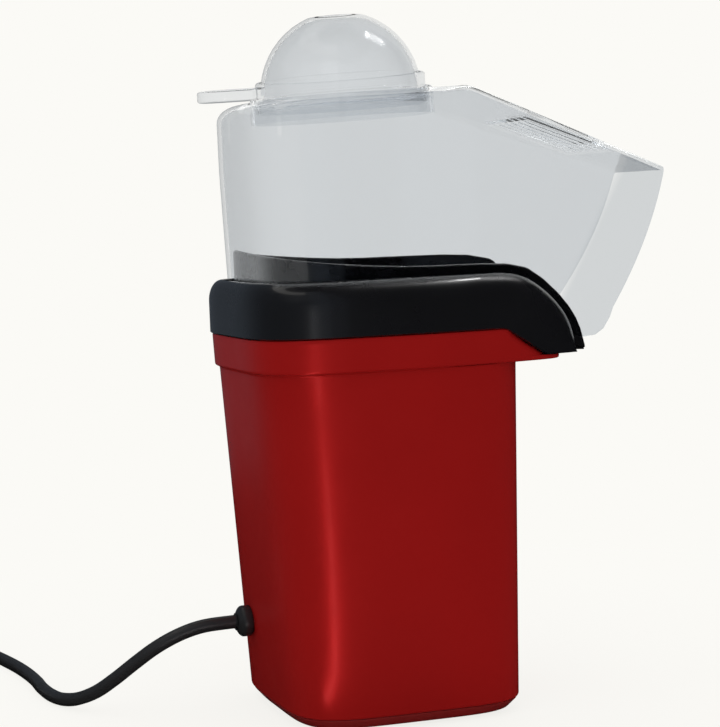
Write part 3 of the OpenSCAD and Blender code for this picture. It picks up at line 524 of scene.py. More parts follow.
def build_collar(roll_height):
    """The rim, the deck with the chute, the inner fence and the studs under them."""
    rim = form(rim_rings(roll_height))
    stations = np.concatenate([[-57.7, -57.6, -57.3, -56.8, -56, -54.5, -52, -48, -42, -34],
                               np.arange(-24, 46, 10.0), np.arange(46, 79.5, 2.5),
                               [79.5, 79.6], np.arange(81, CHUTE_F, 2), [CHUTE_F]])
    rings = []
    for f in stations:
        if f < 0:
            back = max(1 - (abs(f) / (HOOD_HD + 1.75)) ** SQUARE, 0)
            half = (HOOD_HW + 1.7) * back ** (1 / SQUARE)
        else:
            half = hood_half(f) + (1.7 if f <= 79.5 else -3.5)
        top, low = table(FLOOR_LINE, f), table(UNDER_LINE, f)
        rings.append([(x, f, z) for x, z in
                      ((-half, low), (half, low), (half, top), (half / 2, top), (0, top),
                       (-half / 2, top), (-half, top))])
    deck = raw_object("deck", form(rings))
    combine(deck, "DIFFERENCE", cylinder((0, CHAMBER_F), CHAMBER_R, 150, 190, 96))

    studs = [cylinder((x, f), STUD_R, 152, STUD_Z, 32) for x in (-41, 41) for f in (-41, 43)]
    studs += [cylinder(about(radians(t), 47.45, (0, CHAMBER_F)), STUD_R, CHAMBER_TOP,
                       STUD_Z, 32)
              for t in (-90, -210, -330)]
    throat = turned(rounded([(CHAMBER_R, 168.3), (36.4, 168.3), (36.4, 176), (CHAMBER_R, 177.2)],
                            [0.4, 0.4, 0, 0.8], 3))
    collar = raw_object("chute_collar", joined(rim, fence_form(), throat, *studs))
    with_deck = [collar, deck]
    with bpy.context.temp_override(active_object=collar, selected_editable_objects=with_deck,
                                   selected_objects=with_deck):
        bpy.ops.object.join()
    return collar


# ---- hood

LEAN = radians(2.2)
RISE = tan(LEAN)
FALL = (ROOF_FALL + RISE * (BEND_F - CHAMBER_F)) / (OUTLET_F - BEND_F)


def roof_at(f, drop=0.0):
    """Height of the roof, which rises a little towards its bend. The bend is eased."""
    f = np.asarray(f, float)
    ease = np.clip(f - (BEND_F - BEND_EASE), 0, 2 * BEND_EASE)
    past = ease ** 2 / (4 * BEND_EASE) + np.maximum(f - (BEND_F + BEND_EASE), 0)
    return ROOF_Z - drop - FALL * past + RISE * (f - past - CHAMBER_F)


def leaning(part):
    """A part of the cup or its seat, turned to lie square on the rising roof."""
    c, s = cos(LEAN), sin(LEAN)
    level = [(x, f - CHAMBER_F, z - ROOF_Z) for x, f, z in part[0]]
    return [(x, CHAMBER_F + f * c - z * s, ROOF_Z + f * s + z * c) for x, f, z in level], part[1]


def hood_solid(inset, z0, front):
    """The space inside the hood's outline, drawn in by inset, down to z0 and out to front.
    Each line runs up the wall, over the fillet and in to the middle of the roof."""
    sides = np.concatenate([np.arange(front, 40, -5.0), np.arange(39, 32.9, -1.0),
                            np.arange(28, 0, -7.0)])
    route = [(1, f) for f in sides] + [(0, -t) for t in np.linspace(0, pi, 141)]
    route += [(-1, f) for f in sides[::-1]]

    def line(side, v):
        turn = v if side == 0 else 0
        w = eased((sin(-turn) - 0.45) / 0.4)
        r, deep = 3 - 0.7 * inset + 4.5 * w, 3 - 0.7 * inset + 7 * w

        def plan(draw, z):
            if side:
                return side * (hood_half(v) - inset - draw), v
            lean = HOOD_LEAN * clamp((LEAN_TOP_Z - z) / (LEAN_TOP_Z - HOOD_Z))
            return square_point(HOOD_HW - inset - draw, HOOD_HD - inset - draw - lean, turn)
        top = float(roof_at(plan(deep, 250)[1], inset))
        up = np.linspace(z0, 236 if top > 240 else top - r - 1, 9)
        points = [(*plan(0, z), z) for z in (*up, top - r)]
        points += [(*plan(deep * (1 - cos(a)), top), top - r + r * sin(a))
                   for a in np.linspace(0, pi / 2, 9)[1:]]
        x, f, z = points[-1]
        mid = v if side else 0.0
        for u in (0.25, 0.5, 0.75, 1.0):
            g = f + (mid - f) * u
            points.append((x * (1 - u), g, float(roof_at(g, inset))))
        return points

    lines = [line(side, v) for side, v in route]
    points, faces = loft(lines, wrap_ring=False)
    count = len(lines[0])
    faces.append(tuple(k * count for k in range(len(lines))))
    last = (len(lines) - 1) * count
    faces.append(tuple(range(count)) + tuple(last + k for k in range(count - 2, -1, -1)))
    return points, faces


def build_hood(slots, slot_length):
    """The hood with its outlet, the neck that the cup sits in and the slots in its roof."""
    hood = raw_object("hood_shell", hood_solid(0, 150, 150))
    mouth = [(OUTLET_F - 0.249 * d - 0.004 * d * d, ROOF_Z - ROOF_FALL - d)
             for d in np.linspace(61, 0, 40)]
    under = [(-80, HOOD_Z), (44, HOOD_Z), (52, 176.6), (60, 173.2), (71, 165.8), (79, 161.2),
             (88, 159.4), (95, 159.9), (99.4, 162.4), (103, 167.2)]
    outline = under + mouth + [(OUTLET_F + 0.2, 242), (OUTLET_F + 0.2, 290), (-80, 290)]
    combine(hood, "DIFFERENCE", hood_solid(HOOD_WALL, 140, 158))
    combine(hood, "INTERSECT", slab(outline, -90, 90))
    neck = turned(rectangle(NECK_R, NECK_OUT_R, NECK_Z, NECK_TOP_Z))
    combine(hood, "UNION", leaning(neck))
    combine(hood, "DIFFERENCE", leaning(cylinder((0, CHAMBER_F), NECK_HOLE_R, 230, 290, 128)))
    tilt, bend_z = atan(FALL), ROOF_Z + RISE * (BEND_F - CHAMBER_F)
    pitch, slot_end = 7.4, 78
    cuts = []
    for k in np.arange(slots) - (slots - 1) / 2:
        x0, x1 = k * pitch - 1, k * pitch + 1
        ring = [(x1, slot_end - slot_length), (x1, slot_end), (x0, slot_end),
                (x0, slot_end - slot_length)]
        cuts.append(form([[(x, BEND_F + s * cos(tilt) + h * sin(tilt),
                            bend_z - s * sin(tilt) + h * cos(tilt)) for x, s in ring]
                          for h in (-4, 4)]))
    return combine(hood, "DIFFERENCE", joined(*cuts))


# ---- measuring cup

def build_cup(wall):
    """The dome with its flange, handle and lug."""
    dome = [(DOME_R * sin(a), DOME_Z + DOME_R * cos(a)) for a in
            np.linspace(acos(6.7 / DOME_R), asin(12.3 / DOME_R), 26)]
    inner_r = DOME_R - wall
    hollow = [(inner_r * sin(a), DOME_Z + inner_r * cos(a)) for a in
              np.linspace(asin(12.2 / inner_r), pi / 2, 24)]
    profile = rounded([(36.3, 262.5), (37.8, 262.5), (37.8, CUP_Z), (39.7, CUP_Z), (39.7, 269.8),
                       (37.0, 269.8), (37.0, 275.9), (34.6, 276.25)],
                      [0.5, 0.5, 0.3, 0.6, 0.8, 0.5, 1.4, 0], 5)
    profile += dome + [(11.9, 302.22), (10.5, TOP_Z), (0.02, TOP_Z), (0.02, TOP_Z - wall)]
    profile += [(10.2, TOP_Z - wall)] + hollow + [(inner_r, 269.2), (36.3, 268.4)]
    cup = raw_object("cup_shell", leaning(turned(profile, count=128)))
    tip = 11.0
    arc = [about(a, tip, (0, 64 - tip)) for a in np.linspace(0, pi, 25)]
    plan = [(x, CHAMBER_F - d) for x, d in [(-tip, 36.9), (tip, 36.9)] + arc]
    levels = [(268.6, 0.9), (268.75, 0.4), (269.3, 0), (272.6, 0), (273.1, 0.35), (273.3, 0.9)]
    centre = np.array([0, CHAMBER_F - 50.0])
    rings = [[(*(centre + (np.array(p) - centre) * (1 - inset / 14)), z) for p in plan]
             for z, inset in levels]
    handle = leaning(form(rings))
    a = radians(162)
    u, v = np.array([cos(a), -sin(a)]), np.array([sin(a), cos(a)])
    lug = [[(*(np.array([0, CHAMBER_F]) + u * (33.2 + p) + v * q), z)
            for p, q in rectangle(0, 2.9 - inset, -2.7 + inset, 2.7 - inset)]
           for z, inset in ((270.4, 0), (275.4, 0), (276.2, 0.6))]
    return combine(cup, "UNION", handle, leaning(form(lug)))


# ---- mains lead, points in millimetres as (across, back, up) from the housing's axis

LEAD = [(20, BACK - 14, 38), (20, BACK - 7, 38), (20, BACK, 38), (20, BACK + 10, 38),
        (20.4, 74, 37.2), (21.3, 84, 34.4), (23, 94, 29.5), (26, 103, 23), (30.5, 111.5, 15.8),
        (36.5, 119, 9.6), (45, 126, 5.4), (55, 130.8, 3.6), (68, 133.6, 3), (84, 135, 3),
        (102, 135, 3), (120, 136, 3),
        (138, 138, 3), (156, 141, 3), (174, 144.5, 3), (192, 147.5, 3), (204, 148.8, 3.6)]
TAIL = [(204, 223, 10), (193, 222, 9.5), (182, 220, 9), (172, 218.5, 8.5), (162, 217.3, 8.1),
        (150, 217, 8)]
COIL_X, COIL_BACK, COIL_R, COIL_Z, TURNS = 215.0, 186.0, 34.0, 7.0, 3.5
PLUG_X, PLUG_BACK, PLUG_Z = 150.0, 217.0, 8.0


def coil_points(per_turn=36):
    """Turns that lie two wide and two high, each changing place behind the last quarter."""
    points = []
    spread = CORD_R * sqrt(2)
    for k in range(int(TURNS * per_turn) + 1):
        along = 360 * k / per_turn
        u = clamp((along % 360 - 285) / 70)
        psi = radians(-45 - 90 * (along // 360 + eased(u)))
        turn = radians(along - 90)
        r = COIL_R + spread * cos(psi)
        points.append((*about(turn, r, (COIL_X, COIL_BACK)),
                       COIL_Z + spread * sin(psi) + 0.5 * sin(pi * u)))
    return points


def lead_points():
    """The lead's middle line in metres, from inside the housing to the plug."""
    return [(x * MM, (AXIS_Y + y) * MM, z * MM) for x, y, z in
            smooth_line(LEAD + coil_points() + TAIL, 430)]


def build_lead():
    """The lead as a round curve, coil and all."""
    curve = bpy.data.curves.new("mains_lead", "CURVE")
    curve.dimensions = "3D"
    curve.bevel_depth = CORD_R * MM
    curve.bevel_resolution = 5
    curve.use_fill_caps = True
    points = lead_points()
    spline = curve.splines.new("POLY")
    spline.points.add(len(points) - 1)
    for p, q in zip(spline.points, points):
        p.co = (*q, 1)
    spline.use_smooth = True
    return put("mains_lead", curve)


def build_gland():
    """The strain relief where the lead leaves the back."""
    head = [(6.9 * cos(a), 3.6 + 3.4 * sin(a)) for a in np.linspace(0, 1.25, 9)]
    profile = [(3.02, 7), (3.02, -14), (4, -14), (5, -11), (5.35, 0.3), (6.6, 0.4), (6.9, 0.8)]
    profile += head[:-1] + [(3.9, 6.95), (3.4, 7.1)]
    rings = [[(x, -(BACK + y), z) for x, z in circle(r, (GLAND_X, GLAND_Z), 72)]
             for r, y in profile]
    return raw_object("gland", loft(rings, wrap_rings=True))


def plug_ring(along_it, half_back, half_up, square):
    """A ring across the plug's axis."""
    return [(PLUG_X - along_it, -(PLUG_BACK + y), PLUG_Z + z) for y, z in
            (square_point(half_back, half_up, t, square) for t in angles(48))]


def build_plug():
    """The plug with the ribs of its bend relief."""
    sizes = [(0, 3.05, 3.05, 2), (0, 3.8, 3.8, 2), (0.5, 4.1, 4.1, 2)]
    for k in range(5):
        x, r = 1.5 + 3.2 * k, 4.15 + 0.32 * k
        sizes += [(x + dx, r + dr, r + dr, 2.1)
                  for dx, dr in ((0, 0), (1.7, 0.1), (2, -0.7), (2.9, -0.7))]
    sizes += [(17.6, 5.6, 5.5, 2.2), (18.3, 6, 5.8, 2.4), (20, 7.2, 6.2, 2.8),
              (24, 9.4, 6.9, 3.4), (28.5, 11.4, 7.4, 4), (32, 12, 7.5, 5),
              (38.6, 12, 7.5, 5), (39.6, 11.7, 7.2, 5), (40, 11, 6.6, 5)]
    return raw_object("plug", form([plug_ring(*size) for size in sizes]))


def build_blades():
    """The two flat pins of the plug."""
    parts = []
    for y in (-6.35, 6.35):
        outline = rounded(rectangle(PLUG_X - 39.4, PLUG_X - 57, PLUG_Z - 3.2, PLUG_Z + 3.2),
                          [0, 1.5, 1.5, 0], 5)
        mid = np.mean(outline, 0)
        parts.append(form([[(x + (mid[0] - x) * inset / 9, -(PLUG_BACK + y + dy),
                             z + (mid[1] - z) * inset / 4) for x, z in outline]
                           for dy, inset in ((-0.75, 0.3), (-0.5, 0), (0.5, 0), (0.75, 0.3))]))
    return raw_object("plug_blades", joined(*parts))


def build_tie():
    """A flat nylon strap round the coil, with its head on top."""
    outer = rounded(rectangle(26.9, 41.1, 0.25, 13.8), 3.2, 7)
    inner = rounded(rectangle(27.6, 40.4, 0.9, 13.1), 2.5, 7)

    def place(r, z, side):
        return COIL_X - r, -(COIL_BACK + side), z
    rings = []
    for ring, side in ((outer, -3.6), (outer, -2.2), (outer, 2.2), (outer, 3.6),
                       (inner, 3.6), (inner, -3.6)):
        shift = 0.15 if ring is outer and abs(side) > 3 else 0
        mid = np.mean(ring, 0)
        rings.append([place(*(np.array(p) + (mid - p) * shift / 8), side) for p in ring])
    strap = loft(rings, wrap_rings=True)
    plan = rounded(rectangle(30.2, 35.6, -4, 4), 0.9, 4)
    head = [[place(32.9 + (r - 32.9) * (1 - inset / 4), z, s * (1 - inset / 5)) for r, s in plan]
            for z, inset in ((13.3, 0), (15.6, 0), (16.2, 0.5))]
    tongue = [[place(r, z, s) for r, s in rectangle(29.5, 30.3, -2, 2)] for z in (13.6, 20.5)]
    return raw_object("lead_tie", joined(strap, form(head), form(tongue)))


# ---- finishes

def empty_tree(owner):
    owner.use_nodes = True
    owner.node_tree.nodes.clear()
    return owner.node_tree


def new_node(tree, kind, inputs=None, **values):
    """A shader node with its settings and the values of its inputs."""
    node = tree.nodes.new("ShaderNode" + kind)
    for key, value in values.items():
        setattr(node, key, value)
    for key, value in (inputs or {}).items():
        node.inputs[key].default_value = value
    return node


def link(a, out, b, into):
    """Joins an output of one node to an input of another."""
    a.id_data.links.new(a.outputs[out], b.inputs[into])


def mix_shaders(share, first, second, out):
    """Shows first and second mixed. share is a node and its output, 1 for second alone."""
    mix = new_node(out.id_data, "MixShader")
    for k, (node, socket) in enumerate((share, (first, 0), (second, 0))):
        link(node, socket, mix, k)
    link(mix, 0, out, "Surface")


class Finish:
    """A Principled material whose details come from noise on the object's own points. On the
    clear pieces its tint also carries painted shade and painted light.
    """

    def __init__(self, name, colour, rough, metallic=0.0, coat=0.0, coat_rough=0.08,
                 specular=0.5):
        self.mat = bpy.data.materials.new(name)
        self.tree = empty_tree(self.mat)
        self.out = self.add("OutputMaterial")
        self.shader = self.add("BsdfPrincipled", {
            "Base Color": (*colour, 1), "Roughness": rough, "Metallic": metallic,
            "Coat Weight": coat, "Coat Roughness": coat_rough, "Specular IOR Level": specular})
        link(self.shader, "BSDF", self.out, "Surface")
        self.colour, self.rough = colour, rough
        self.spot = self.add("TexCoord")
        self.normal = self.dense = None

    def add(self, kind, inputs=None, **values):
        return new_node(self.tree, kind, inputs, **values)

    def noise(self, scale, detail, stretch):
        node = self.add("TexNoise", {"Scale": scale, "Detail": detail})
        if stretch:
            turn = self.add("Mapping", {"Scale": stretch})
            link(self.spot, "Object", turn, "Vector")
            link(turn, "Vector", node, "Vector")
        else:
            link(self.spot, "Object", node, "Vector")
        return node, "Fac"

    def ramp(self, other, low=0.0, high=1.0):
        """A colour that goes from the finish's own to other."""
        node = self.add("ValToRGB")
        for end, place, colour in zip(node.color_ramp.elements, (low, high),
                                      (self.colour, other)):
            end.position, end.color = place, (*colour, 1)
        return node

    def vary_rough(self, scale, amount, detail=3.0, stretch=None):
        rough = self.add("MapRange", {
            "From Min": 0.3, "From Max": 0.7, "To Min": self.rough - amount,
            "To Max": self.rough + amount})
        link(*self.noise(scale, detail, stretch), rough, "Value")
        link(rough, "Result", self.shader, "Roughness")
        return self

    def vary_colour(self, scale, other, detail=2.0):
        ramp = self.ramp(other, 0.35, 0.65)
        link(*self.noise(scale, detail, None), ramp, "Fac")
        link(ramp, "Color", self.shader, "Base Color")
        return self

    def bump(self, scale, height, detail=2.0, stretch=None):
        """height is in metres."""
        node = self.add("Bump", {"Strength": 1.0, "Distance": height})
        link(*self.noise(scale, detail, stretch), node, "Height")
        if self.normal:
            link(self.normal, "Normal", node, "Normal")
        link(node, "Normal", self.shader, "Normal")
        self.normal = node
        return self

    def math(self, operation, *terms):
        """A node of one sum. The terms are numbers or (node, output) pairs."""
        node = self.add("Math", operation=operation)
        for k, term in enumerate(terms):
            if isinstance(term, tuple):
                link(*term, node, k)
            else:
                node.inputs[k].default_value = term
        return node, "Value"

    def place(self):
        """The object's own point, as a node with the outputs X, Y and Z."""
        parts = self.add("SeparateXYZ")
        link(self.spot, "Object", parts, "Vector")
        return parts

    def within(self, low, high):
        """1 where the object's points lie in a box given in metres, 0 elsewhere."""
        parts, inside = self.place(), None
        for axis, lo, hi in zip("XYZ", low, high):
            here = self.math("COMPARE", (parts, axis), (lo + hi) / 2, (hi - lo) / 2)
            inside = self.math("MULTIPLY", inside, here) if inside else here
        return inside

    def painted_outlet_shade(self, start, end, shade):
        """Painted shade: darkens the tint of the wall on the left in a strip along the outlet,
        where f less z times the slant set below, in millimetres, goes from start to end."""
        parts = self.place()
        slant = self.math("MULTIPLY_ADD", (parts, "Z"), -OUTLET_SHADE_SLANT,
                          self.math("MULTIPLY", (parts, "Y"), -1))
        share = self.add("MapRange", {"From Min": (start - AXIS_Y) * MM,
                                                "From Max": (end - AXIS_Y) * MM})
        link(*slant, share, "Value")
        left = self.math("LESS_THAN", (parts, "X"), -0.02)
        # painted shade: the tint is multiplied by shade inside the strip
        mix = self.add("MixRGB", {"Color2": (*shade, 1)}, blend_type="MULTIPLY")
        link(*self.math("MULTIPLY", left, (share, "Result")), mix, "Fac")
        tint = self.shader.inputs["Base Color"].links[0].from_socket
        self.tree.links.new(tint, mix.inputs["Color1"])
        link(mix, "Color", self.shader, "Base Color")
        return self

    def painted_edge_shade_and_light(self, edge, thin):
        """Painted shade and painted light on the clear plastic: the tint is painted darker where
        the wall is seen edge on, and paler in the boxes of thin, where many walls stand behind
        one another."""
        # painted shade: the tint goes darker as the wall turns edge on
        facing = self.add("LayerWeight", {"Blend": 0.25})
        ramp = self.ramp(edge)
        link(facing, "Facing", ramp, "Fac")
        last = (ramp, "Color")
        for corners in thin:
            # painted light: a paler tint in each box where walls stack
            mix = self.add("MixRGB", {"Color2": (0.97, 0.975, 0.98, 1)})
            here = self.within(*corners)
            self.dense = self.math("ADD", self.dense, here) if self.dense else here
            link(*self.math("MULTIPLY", here, 0.6), mix, "Fac")
            link(*last, mix, "Color1")
            last = (mix, "Color")
        link(*last, self.shader, "Base Color")
        return self

    def clear(self, ior, shade):
        """Lets light through, and casts only a faint shadow. It bends light a little more
        in the boxes that edged() was given."""
        self.shader.inputs["Transmission Weight"].default_value = 1.0
        link(*self.math("MULTIPLY_ADD", self.dense, 0.02, ior), self.shader, "IOR")
        path = self.add("LightPath")
        thin = self.add("BsdfTransparent", {"Color": (*shade, 1)})
        mix_shaders((path, "Is Shadow Ray"), self.shader, thin, self.out)
        return self


# the strip of painted shade along the hood's outlet
OUTLET_SHADE_SLANT = 0.607  # how far forward the shaded strip along the outlet goes as it rises
# Boxes in metres where many clear walls stand behind one another: the cup's neck, and the slots
# in the roof.
# The tint is painted paler in them, a painted lightening against the shade that the stacked walls
# add, and the walls bend light a little more there.
HOOD_LIGHTENED_BOXES = [((-0.041, -0.0025, 0.25), (0.041, 0.0795, 0.2655)),
             ((-0.024, -0.0787, 0.2), (0.024, -0.038, 0.3))]
CUP_LIGHTENED_BOXES = [((-0.05, -0.01, 0.25), (0.05, 0.08, 0.267))]


def finishes(f):
    """All the finishes, by the record's slot names. f holds the user's colours."""
    red, black, clear = tuple(f.red[:3]), tuple(f.black[:3]), tuple(f.clear[:3])

    def shaded(colour, share):
        return tuple(c * share for c in colour)

    made = {
        "red_shell": Finish("red_moulded", red, f.red_rough, f.red_metal, f.red_coat, 0.16,
                            specular=0.08)
        .vary_colour(14, shaded(red, 0.93)).vary_rough(60, 0.025)
        .bump(9, 0.00025, 1.0).bump(1400, 0.000004),
        "dark_red_cover": Finish("dark_red_moulded", shaded(red, 0.62), 0.42, 0.2, 0.1, 0.25)
        .vary_rough(80, 0.05).bump(1800, 0.00001),
        "black_collar": Finish("black_gloss", black, f.black_rough, 0, 0.45, 0.09, specular=0.3)
        .vary_rough(50, 0.03).vary_colour(20, shaded(black, 1.3))
        .bump(12, 0.00012, 1.0).bump(1600, 0.000003),
        # painted shade and light on the clear pieces: darker edge on, paler where walls stack,
        # and on the hood a darker strip along the outlet
        "clear_hood": Finish("clear_hood", clear, 0.02, coat=0.5, coat_rough=0.03)
        .vary_rough(30, 0.01).painted_edge_shade_and_light(shaded(clear, 0.88), HOOD_LIGHTENED_BOXES)
        .painted_outlet_shade(-31, -26, (0.845, 0.86, 0.875)).clear(1.008, (0.86, 0.86, 0.86)),
        "clear_cup": Finish("clear_cup", clear, 0.02, coat=0.4, coat_rough=0.1)
        .vary_rough(40, 0.01).painted_edge_shade_and_light(shaded(clear, 0.82), CUP_LIGHTENED_BOXES)
        .clear(1.012, (0.84, 0.84, 0.84)),
        "black_rubber": Finish("rubber", (0.018, 0.018, 0.018), 0.78, specular=0.3)
        .vary_rough(150, 0.06).bump(900, 0.00004, 3.0),
        "cord_black": Finish("flex_sheath", (0.014, 0.014, 0.015), 0.38, coat=0.1, coat_rough=0.3)
        .vary_rough(200, 0.06).bump(1300, 0.00002),
        "white_nylon": Finish("nylon", (0.72, 0.72, 0.69), 0.45)
        .vary_rough(300, 0.06).bump(900, 0.00001),
        "aluminium": Finish("spun_aluminium", (0.72, 0.73, 0.74), 0.3, 1.0)
        .vary_rough(40, 0.06, 2, (1, 1, 30)).bump(60, 0.00002, 2, (1, 1, 40)),
        "steel_sheet": Finish("rolled_steel", (0.55, 0.56, 0.57), 0.36, 1.0)
        .vary_rough(70, 0.08, 3, (1, 8, 1)).bump(300, 0.00001, 2, (1, 12, 1)),
        "screw_steel": Finish("bright_steel", (0.62, 0.62, 0.6), 0.24, 1.0)
        .vary_rough(400, 0.06).bump(1500, 0.000006),
        "brown_phenolic": Finish("brown_phenolic", (0.09, 0.035, 0.016), 0.4)
        .vary_colour(240, (0.13, 0.055, 0.025), 4).vary_rough(90, 0.06).bump(700, 0.00002, 3.0),
        "mica": Finish("mica", (0.5, 0.42, 0.29), 0.3, coat=0.3, coat_rough=0.2)
        .vary_colour(160, (0.36, 0.3, 0.2), 5).bump(400, 0.00004, 4.0),
        "heater_wire": Finish("resistance_wire", (0.3, 0.26, 0.23), 0.42, 1.0)
        .vary_colour(600, (0.2, 0.16, 0.15)).vary_rough(500, 0.1).bump(1500, 0.00004, 1.0),
        "motor_plastic": Finish("motor_end", (0.62, 0.6, 0.53), 0.48)
        .vary_rough(200, 0.06).bump(900, 0.00001),
        "board_green": Finish("board_lacquer", (0.02, 0.13, 0.05), 0.28, coat=0.4)
        .vary_colour(500, (0.03, 0.18, 0.07), 1).bump(800, 0.00001),
        "black_plastic": Finish("black_satin", (0.022, 0.022, 0.024), 0.42)
        .vary_rough(160, 0.06).bump(1400, 0.00001),
        "wire_insulation": Finish("insulation", (0.32, 0.2, 0.03), 0.45)
        .vary_rough(260, 0.06).bump(900, 0.00001),
        "brass": Finish("plated_brass", (0.7, 0.62, 0.42), 0.24, 1.0)
        .vary_rough(300, 0.06, 2, (8, 1, 1)).bump(700, 0.000008, 2, (10, 1, 1)),
        "ceramic_white": Finish("ceramic", (0.74, 0.72, 0.68), 0.4)
        .vary_rough(150, 0.06).bump(900, 0.00001),
    }
    return {slot: finish.mat for slot, finish in made.items()}


FINISHES = {}


def finish_of(slot):
    """The finish of a slot, made once for the whole part."""
    if not FINISHES:
        FINISHES.update(finishes(bpy.context.scene.popcorn_finish))
    return FINISHES[slot]


def carry():
    """Gives the construction's own pieces the finish of their slot."""
    slots = {m["slot"] for m in frame["record"]["materials"]}
    for slot, names in CARRIED.items():
        if slot not in slots:
            raise RuntimeError(f"no slot named {slot}")
        for name in names:
            obj = frame["nodes"][name]
            coat(obj, slot)
            for face in obj.data.polygons:
                face.material_index = 0


CARRIED = {
    "screw_steel": ("base_screws", "collar_screws", "chamber_screws", "sleeve_screws",
                    "bracket_screws", "motor_screws", "motor_shaft"),
    "aluminium": ("chamber", "fan_impeller"),
    "steel_sheet": ("air_sleeve", "motor_bracket", "motor_can"),
    "black_plastic": ("diodes", "thermostat", "switch_housing"),
    "brown_phenolic": ("blower_housing",), "motor_plastic": ("motor_endbell",),
    "board_green": ("rectifier_board",), "mica": ("mica_former",),
    "heater_wire": ("heater_coil",), "ceramic_white": ("thermal_fuse",),
    "black_collar": ("switch_rocker",), "wire_insulation": ("wiring",),
}


# ---- camera, floor and light

# the stage's own numbers are in metres and degrees
CAMERA_AT, CAMERA_AIM = (-0.9035, 0.3282, 0.220), (0, 0.0346, 0.1509)
CAMERA_LENS, CAMERA_ROLL = 107.26, -2.2
STAGE_Y, FLAG_R, CEILING_Z = 0.03, 0.75, 2.19
DARK = (0.004,) * 3
BACKDROP = (0.965, 0.956, 0.922, 1)


def staged(name, points, faces):
    """A mesh that belongs to the stage and not to the object."""
    mesh = bpy.data.meshes.new(name)
    mesh.from_pydata(points, [], faces)
    obj = put(name, mesh)
    mesh.materials.append(bpy.data.materials.new(name))
    return obj, empty_tree(mesh.materials[0])


def aimed(obj, at, roll=0.0):
    """Turns a camera or light towards a point, rolled by some degrees."""
    look = Vector(at) - obj.location
    obj.rotation_euler = (look.to_track_quat("-Z", "Y").to_matrix()
                          @ Matrix.Rotation(radians(roll), 3, "Z")).to_euler()


def softbox(name, place, at, size, power):
    """A rectangular area light that looks at a point."""
    light = bpy.data.lights.new(name, "AREA")
    light.shape = "RECTANGLE"
    light.size, light.size_y = size
    light.energy = power
    obj = put(name, light)
    obj.location = place
    aimed(obj, at)


def card(name, points, faces, shade, strength=1.0, through=False):
    """A lit or dark card that only reflections see, also through the hood if asked."""
    obj, tree = staged(name, points, faces)
    out = new_node(tree, "OutputMaterial")
    glow = new_node(tree, "Emission", {"Color": (*shade, 1), "Strength": strength})
    link(glow, 0, out, "Surface")
    obj.visible_camera = obj.visible_diffuse = False
    obj.visible_transmission = through
    obj.visible_shadow = obj.visible_volume_scatter = False


def flags(arcs):
    """Cards round the object that only reflections see, and a dark one under it.
    arcs holds (from, to, height, shade) in degrees from +Y towards -X."""
    def edge(t, z):
        a = radians(t)
        return (-FLAG_R * sin(a), STAGE_Y + FLAG_R * cos(a), z)

    # the cards on the camera's side also show through the hood
    for k, (lo, hi, height, shade) in enumerate(arcs):
        turns = np.linspace(lo, hi, 2 + int((hi - lo) / 4))
        rows = [[edge(t, z) for t in turns] for z in (-0.002, height)]
        card(f"flags_{k}", *loft(rows, wrap_ring=False),
             (0.8 * shade, 0.95 * shade, 1.15 * shade), through=60 <= lo < 200)
    ring = [edge(t, 0.0004) for t in range(0, 360, 5)]
    card("flags_under", ring, [tuple(range(len(ring)))], DARK)


def seen_directly(tree):
    """A node and its output, 1 for the rays of the camera, of mirrors and of clear pieces
    and 0 for all others."""
    path = new_node(tree, "LightPath")
    seen = path, "Is Camera Ray"
    for kind in ("Is Glossy Ray", "Is Transmission Ray"):
        either = new_node(tree, "Math", operation="MAXIMUM")
        link(*seen, either, 0)
        link(path, kind, either, 1)
        seen = either, 0
    return seen


def build_world(ambient):
    """A pale backdrop that lights the object evenly."""
    world = bpy.data.worlds.new("studio")
    bpy.context.scene.world = world
    tree = empty_tree(world)
    out = new_node(tree, "OutputWorld")
    fill = new_node(tree, "Background", {"Color": (1, 1, 1, 1), "Strength": ambient})
    pale = new_node(tree, "Background", {"Color": BACKDROP, "Strength": 1.0})
    mix_shaders(seen_directly(tree), fill, pale, out)


def build_floor(shadow):
    """A pale floor that keeps the object's shadow near it and fades into the backdrop."""
    rings = [raised(circle(r, (0, 0.05), 64), 0) for r in (0.02, 0.2, 0.6, 1.5, 4, 9)]
    tree = staged("floor", *loft(rings, caps=(True, False)))[1]
    out = new_node(tree, "OutputMaterial")
    matte = new_node(tree, "BsdfDiffuse", {"Color": (0.84, 0.835, 0.81, 1)})
    glow = new_node(tree, "Emission", {"Color": BACKDROP, "Strength": 1.0})
    at = new_node(tree, "TexCoord")
    far = new_node(tree, "VectorMath", {1: (0, STAGE_Y, 0)}, operation="DISTANCE")
    link(at, "Object", far, 0)
    fade = new_node(tree, "MapRange",
                    {"From Min": 0.06, "From Max": 0.42, "To Min": 1 - shadow, "To Max": 1.0},
                    interpolation_type="SMOOTHSTEP")
    link(far, "Value", fade, "Value")
    both = new_node(tree, "Math", operation="MULTIPLY")
    link(*seen_directly(tree), both, 0)
    link(fade, 0, both, 1)
    mix_shaders((both, 0), matte, glow, out)


# ---- what a user can set

LENGTH = {"subtype": "DISTANCE", "unit": "LENGTH"}
SHARE = {"subtype": "FACTOR"}
POWER = {"unit": "POWER"}


def setting(name, description, default, low, high, **kind):
    return FloatProperty(name=name, description=description, default=default, min=low, max=high,
                         **kind)


def colour_setting(name, description, default):
    return FloatVectorProperty(name=name, description=description, default=(*default, 1),
                               subtype="COLOR", size=4, min=0, max=1)


